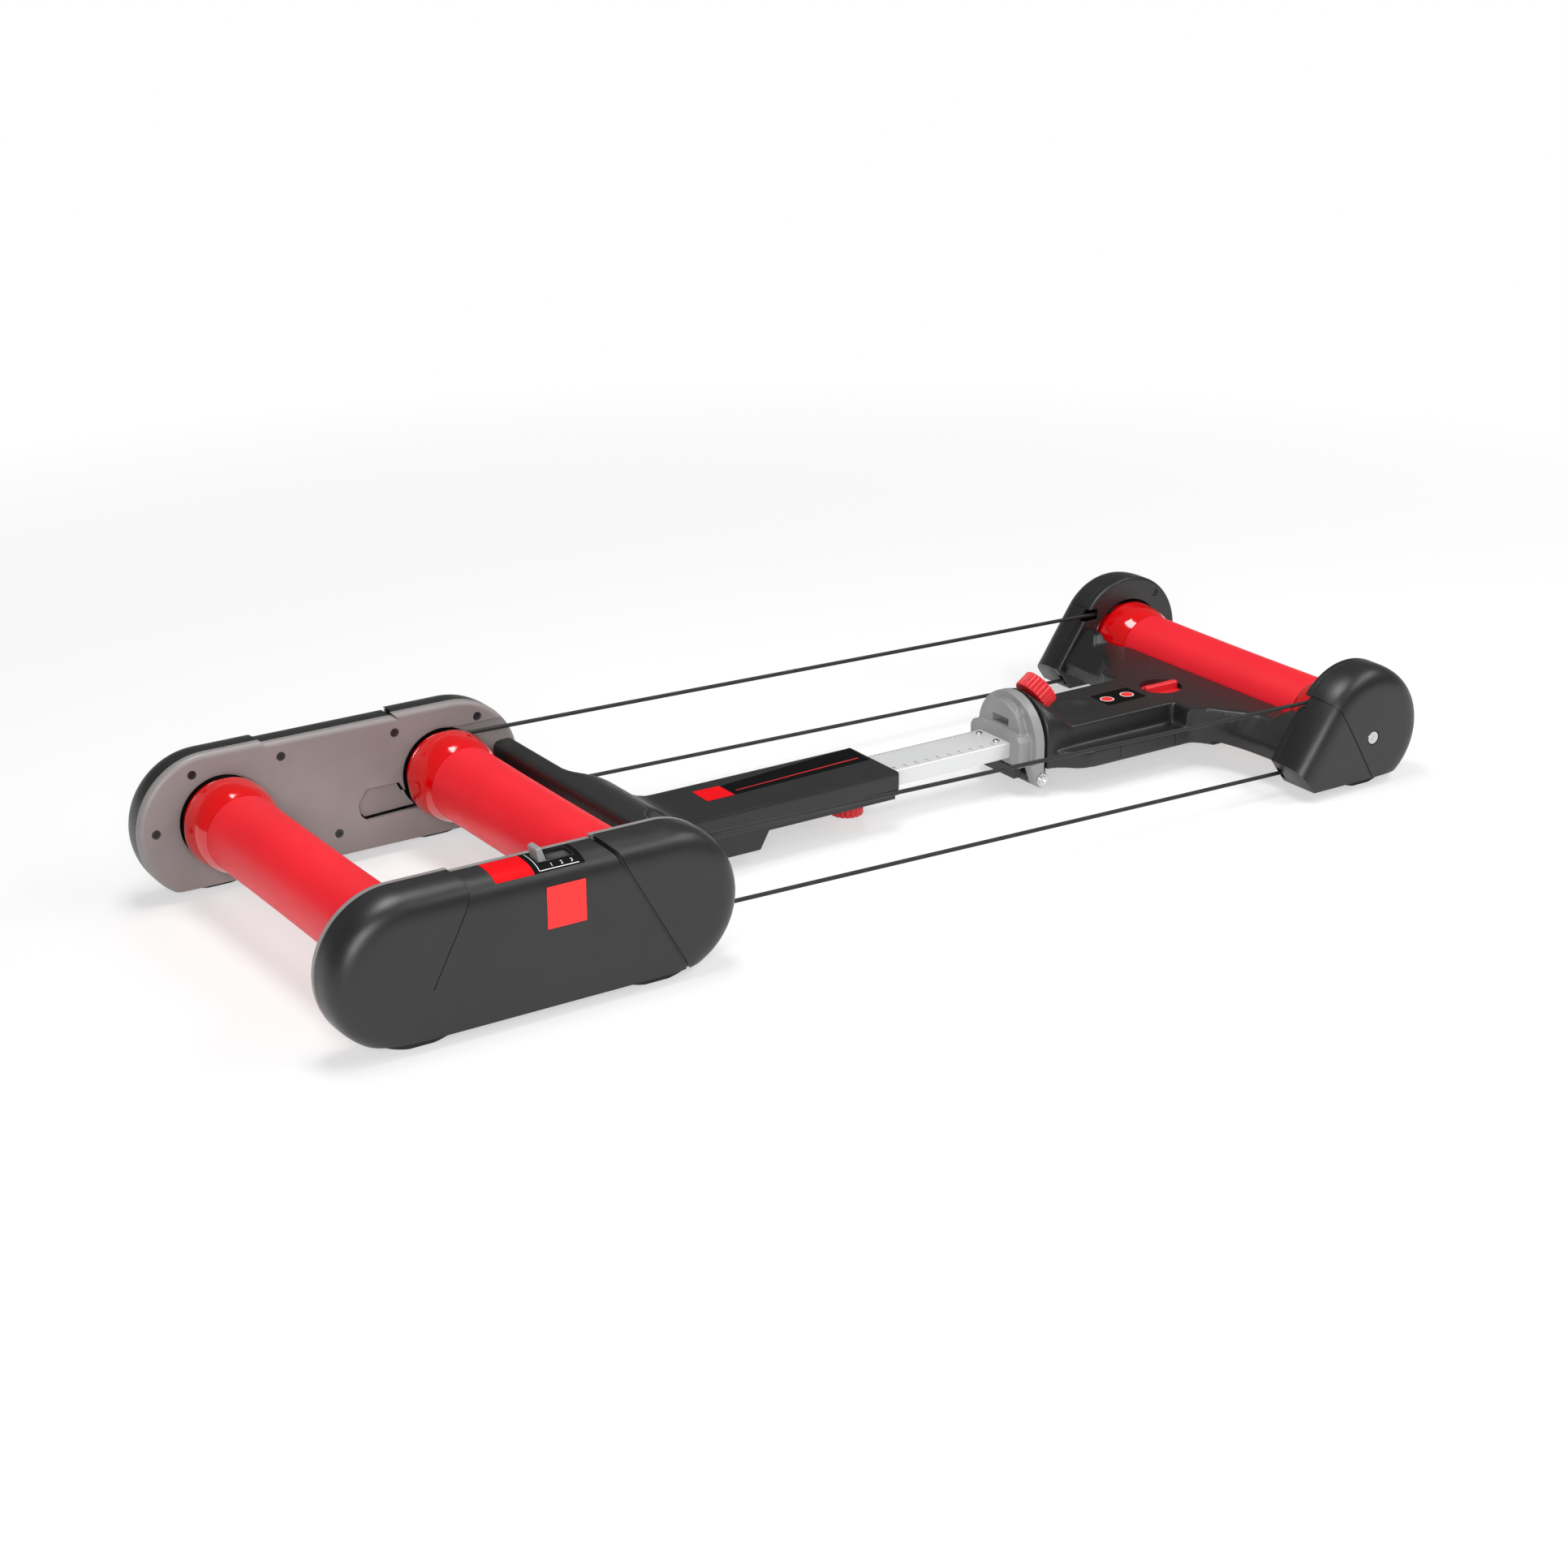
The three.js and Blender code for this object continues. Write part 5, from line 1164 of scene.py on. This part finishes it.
def beam_plan():
    mid = (BEAM_START + BEAM_WIDE) / 2
    half = curve((BEAM_START, DOME_R), (mid, DOME_R), (mid, BEAM_HALF), (BEAM_WIDE, BEAM_HALF))
    half += FLARE + [(ARM_REAR, ARM_Y + OVER), (ARM_FRONT, ARM_Y + OVER), (ARM_FRONT, ARM_STEP),
                     (BEAM_FRONT, ARM_STEP - OVER)]
    return both_halves(half)


def dish():
    """The round hollow in the deck behind the hump."""
    ball = (DISH_R ** 2 + DISH_DEPTH ** 2) / (2 * DISH_DEPTH)
    spread = asin(DISH_R / ball)
    levels = [(0, DECK_TOP + CLEAR)]
    for i in range(DISH_STEPS):
        angle = spread * (1 - i / DISH_STEPS)
        levels.append((DISH_R - ball * sin(angle), DECK_TOP - DISH_DEPTH + ball * (1 - cos(angle))))
    return stack(circle(DISH_X, 0, DISH_R, DISH_SIDES), levels, "xy")


def lean(s):
    """What is taken off an arm's rear face, which leans as the heel of the housing does."""
    rings = []
    for x, y in [point for point in FLARE if point[1] > LEAN_START] + [(ARM_REAR, ARM_Y + CLEAR)]:
        share = min((y - LEAN_START) / (LEAN_FULL - LEAN_START), 1)
        back, near = x - CLEAR, x - GAP
        top_x = near + ARM_LEAN * sin(QUARTER * share) ** 2
        profile = ((back, LEDGE_Z), (near, LEDGE_Z), (top_x, ARM_TOP), (top_x, ARM_TOP + OVER),
                   (back, ARM_TOP + OVER))
        rings.append([(px, s * y, pz) for px, pz in profile])
    return loft(rings)


def front_beam_form():
    x, z = hinge_pin.x, hinge_pin.z
    plan = beam_plan()
    beam = prism(plan, BEAM_LOW, LEDGE_Z, "xy")
    arms = meet(prism(plan, LEDGE_Z - 1, DECK_TOP, "xy", 0, ARM_ROUND),
                box(ARM_START, FAR, -FAR, FAR, 0, FAR))
    core = box(HUMP_END - 1, BEAM_FRONT, -DECK_HALF, DECK_HALF, LEDGE_Z - 1, DECK_TOP)
    join(beam, arms, core, hump())
    for s in (1, -1):
        outer, inner = s * (ARM_Y + OVER), s * (ARM_Y - ARM_BLOCK)
        foot = s * (ARM_Y - ARM_BLOCK - OVER)
        raised = [(outer, LEDGE_Z), (outer, ARM_TOP), (inner, ARM_TOP), (foot, ARM_SLOPE_Z),
                  (foot, LEDGE_Z)]
        join(beam, prism(raised, ARM_REAR + ARM_SET_BACK, ARM_FRONT, "yz"))
        cut(beam, lean(s))
    moulded(cut(beam, dish()), BEAM_GRID, BEAM_ROUNDS)
    meet(beam, box(BEAM_START, FAR, -ARM_Y, ARM_Y, BEAM_LOW, FAR))
    for s in (1, -1):
        cut(beam, box(FRONT_CUT, FAR, s * ARM_INNER_Y, s * OUTSIDE, 0, ARM_LOW))
        for seam_x in SEAM_PLACES:
            cut(beam, box(seam_x - SEAM_HALF, seam_x + SEAM_HALF, s * (BEAM_HALF - SEAM_DEEP),
                          s * SEAM_END, 0, SEAM_TOP))
    cut(beam, box(BEAM_START + BELLY_WALL, BEAM_FRONT - BELLY_WALL, -BELLY_HALF, BELLY_HALF, 0,
                  BELLY_TOP),
        post(FLOAT_R, DECK_TOP - FLOAT_DEPTH, FAR, float_knob_place.x, 0, LARGE_SIDES),
        post(SHAFT_HOLE_R, 0, FAR, float_knob_place.x, 0, SMALL_SIDES))
    low, inside = z - LUG_R, BEAM_START + WEB_LONG
    web = [(x, low), (inside, low), (inside, BEAM_LOW + 1), (BEAM_START + 1, BEAM_LOW + 1),
           (BEAM_START - GAP, WEB_LOW), (x, WEB_LOW)]
    join(beam, join(rod(LUG_R, -KNUCKLE_HALF, KNUCKLE_HALF, x, z, WIDE_SIDES),
                    prism(web, -KNUCKLE_HALF, KNUCKLE_HALF)))
    seat = join(post(KNOB_SEAT_R, KNOB_SEAT_LOW, KNOB_SEAT_TOP, 0, 0, LARGE_SIDES),
                post(SHAFT_HOLE_R, SHAFT_HOLE_LOW, 0, 0, 0, SMALL_SIDES))
    cut(beam, moved(seat, fold_knob_place, FOLD_TILT), rod(PIN_R + GAP, -FAR, FAR, x, z, SMALL_SIDES))
    stand_in(beam, "front_beam", black, "front_frame")


front_beam_form()
flat_label("deck_label", sticker_black, DECK_LABEL, DECK_TOP, "front_frame", corner=3)
ICON_BASE, ICON_PLACES, ICON_Y = 0.2, (1027, 1057), -1
ICONS = (("ring", 8.4, 0.32, print_white), ("spot", 7.2, 0.4, badge_red))
for i, x in enumerate(ICON_PLACES):
    for kind, radius, high, material in ICONS:
        disc = post(radius, DECK_TOP + ICON_BASE, DECK_TOP + high, x, ICON_Y)
        dress(disc, f"deck_label_{kind}_{i + 1}", material, "front_frame")

# Camera

TARGET = Vector((560, 0, 67))
YAW, PITCH, ROLL = radians(56.74), radians(20.85), radians(-0.34)
DISTANCE, FOCAL, IMAGE, SENSOR, SHIFT, CLIP = 3239.71, 3638.43, 1932, 36.0, (10.8, 0.94), 200
ahead = Vector((cos(YAW) * cos(PITCH), sin(YAW) * cos(PITCH), -sin(PITCH)))
camera = linked("camera", bpy.data.cameras.new("camera"))
camera.data.sensor_width = SENSOR
camera.data.lens = FOCAL / IMAGE * SENSOR
camera.data.shift_x, camera.data.shift_y = (pixels / IMAGE for pixels in SHIFT)
camera.data.clip_end = CLIP
camera.location = to_row @ (TARGET - ahead * DISTANCE)
camera.rotation_euler = (ahead.to_track_quat("-Z", "Y").to_matrix()
                         @ Matrix.Rotation(ROLL, 3, "Z")).to_euler()
scene.camera = camera

# Light: each lamp's name, place, target, width, height and power, in metres and watts

LAMPS = (
    ("overhead", (-0.3, 0.1, 2.6), (0, 0, 0), 1.5, 0.9, 46),
    ("strip", (1.5, -1.0, 2.1), (0, 0, 0.1), 2.4, 0.22, 26),
    ("near_side", (-1.9, -2.4, 1.3), (-0.1, 0, 0.1), 1.2, 0.8, 56),
    ("right_side", (2.4, -1.3, 1.0), (0.1, 0, 0.1), 0.9, 0.9, 20),
)
WORLD_LIGHT, FLOOR_SHADE, FLOOR_SIZE = 0.2, (0.9, 0.9, 0.9, 1), 40
# The floor turns plain white between these distances from the object's middle, in metres
FADE_START, FADE_END, FADE_LEAST = 0.7, 2.2, 0.55
for name, place, target, width, height, power in LAMPS:
    lamp = linked(name, bpy.data.lights.new(name, "AREA"))
    lamp.data.shape = "RECTANGLE"
    lamp.data.size, lamp.data.size_y = width, height
    lamp.data.energy = power
    lamp.location = place
    lamp.rotation_euler = (Vector(target) - Vector(place)).to_track_quat("-Z", "Y").to_euler()
    lamp.visible_glossy = name != "right_side"


def seen_white(tree, output, lit, white, share):
    """Ends a node tree in two shaders: the second is seen by the given share."""
    mix = add_node(tree, "MixShader")
    for source, socket in zip((share, lit.outputs[0], white.outputs[0]), mix.inputs):
        tree.links.new(source, socket)
    tree.links.new(mix.outputs[0], add_node(tree, output).inputs["Surface"])


world = bpy.data.worlds.new("studio")
scene.world = world
world.use_nodes = True
tree = world.node_tree
tree.nodes.clear()
seen_white(tree, "OutputWorld", add_node(tree, "Background", Strength=WORLD_LIGHT),
           add_node(tree, "Background", Color=(1, 1, 1, 1), Strength=1),
           add_node(tree, "LightPath").outputs["Is Camera Ray"])


def floor_finish():
    """White studio floor: keeps the shadow near the object and is plain white further off."""
    material = bpy.data.materials.new("studio_floor")
    material.use_nodes = True
    tree = material.node_tree
    link = tree.links.new
    tree.nodes.clear()
    rays = add_node(tree, "LightPath").outputs
    length, share, seen = (add_node(tree, kind) for kind in ("VectorMath", "Math", "Math"))
    length.operation, share.operation, seen.operation = "LENGTH", "MULTIPLY", "MAXIMUM"
    fade = add_node(tree, "MapRange", From_Min=FADE_START, From_Max=FADE_END, To_Min=FADE_LEAST)
    link(add_node(tree, "TexCoord").outputs["Object"], length.inputs[0])
    link(length.outputs["Value"], fade.inputs["Value"])
    link(rays["Is Camera Ray"], seen.inputs[0])
    link(rays["Is Glossy Ray"], seen.inputs[1])
    link(fade.outputs["Result"], share.inputs[0])
    link(seen.outputs["Value"], share.inputs[1])
    seen_white(tree, "OutputMaterial", add_node(tree, "BsdfDiffuse", Color=FLOOR_SHADE),
               add_node(tree, "Emission", Strength=1), share.outputs["Value"])
    return material


floor_mesh = bpy.data.meshes.new("floor")
floor_corners = rectangle(-FLOOR_SIZE, FLOOR_SIZE, -FLOOR_SIZE, FLOOR_SIZE)
floor_mesh.from_pydata([(x, y, 0) for x, y in floor_corners], [], [(0, 1, 2, 3)])
floor_mesh.materials.append(floor_finish())
linked("floor", floor_mesh)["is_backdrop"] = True

scene.view_settings.view_transform = "Standard"

low_high = [[list(corner) for corner in box_] for box_ in (cad_bounds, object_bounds())]
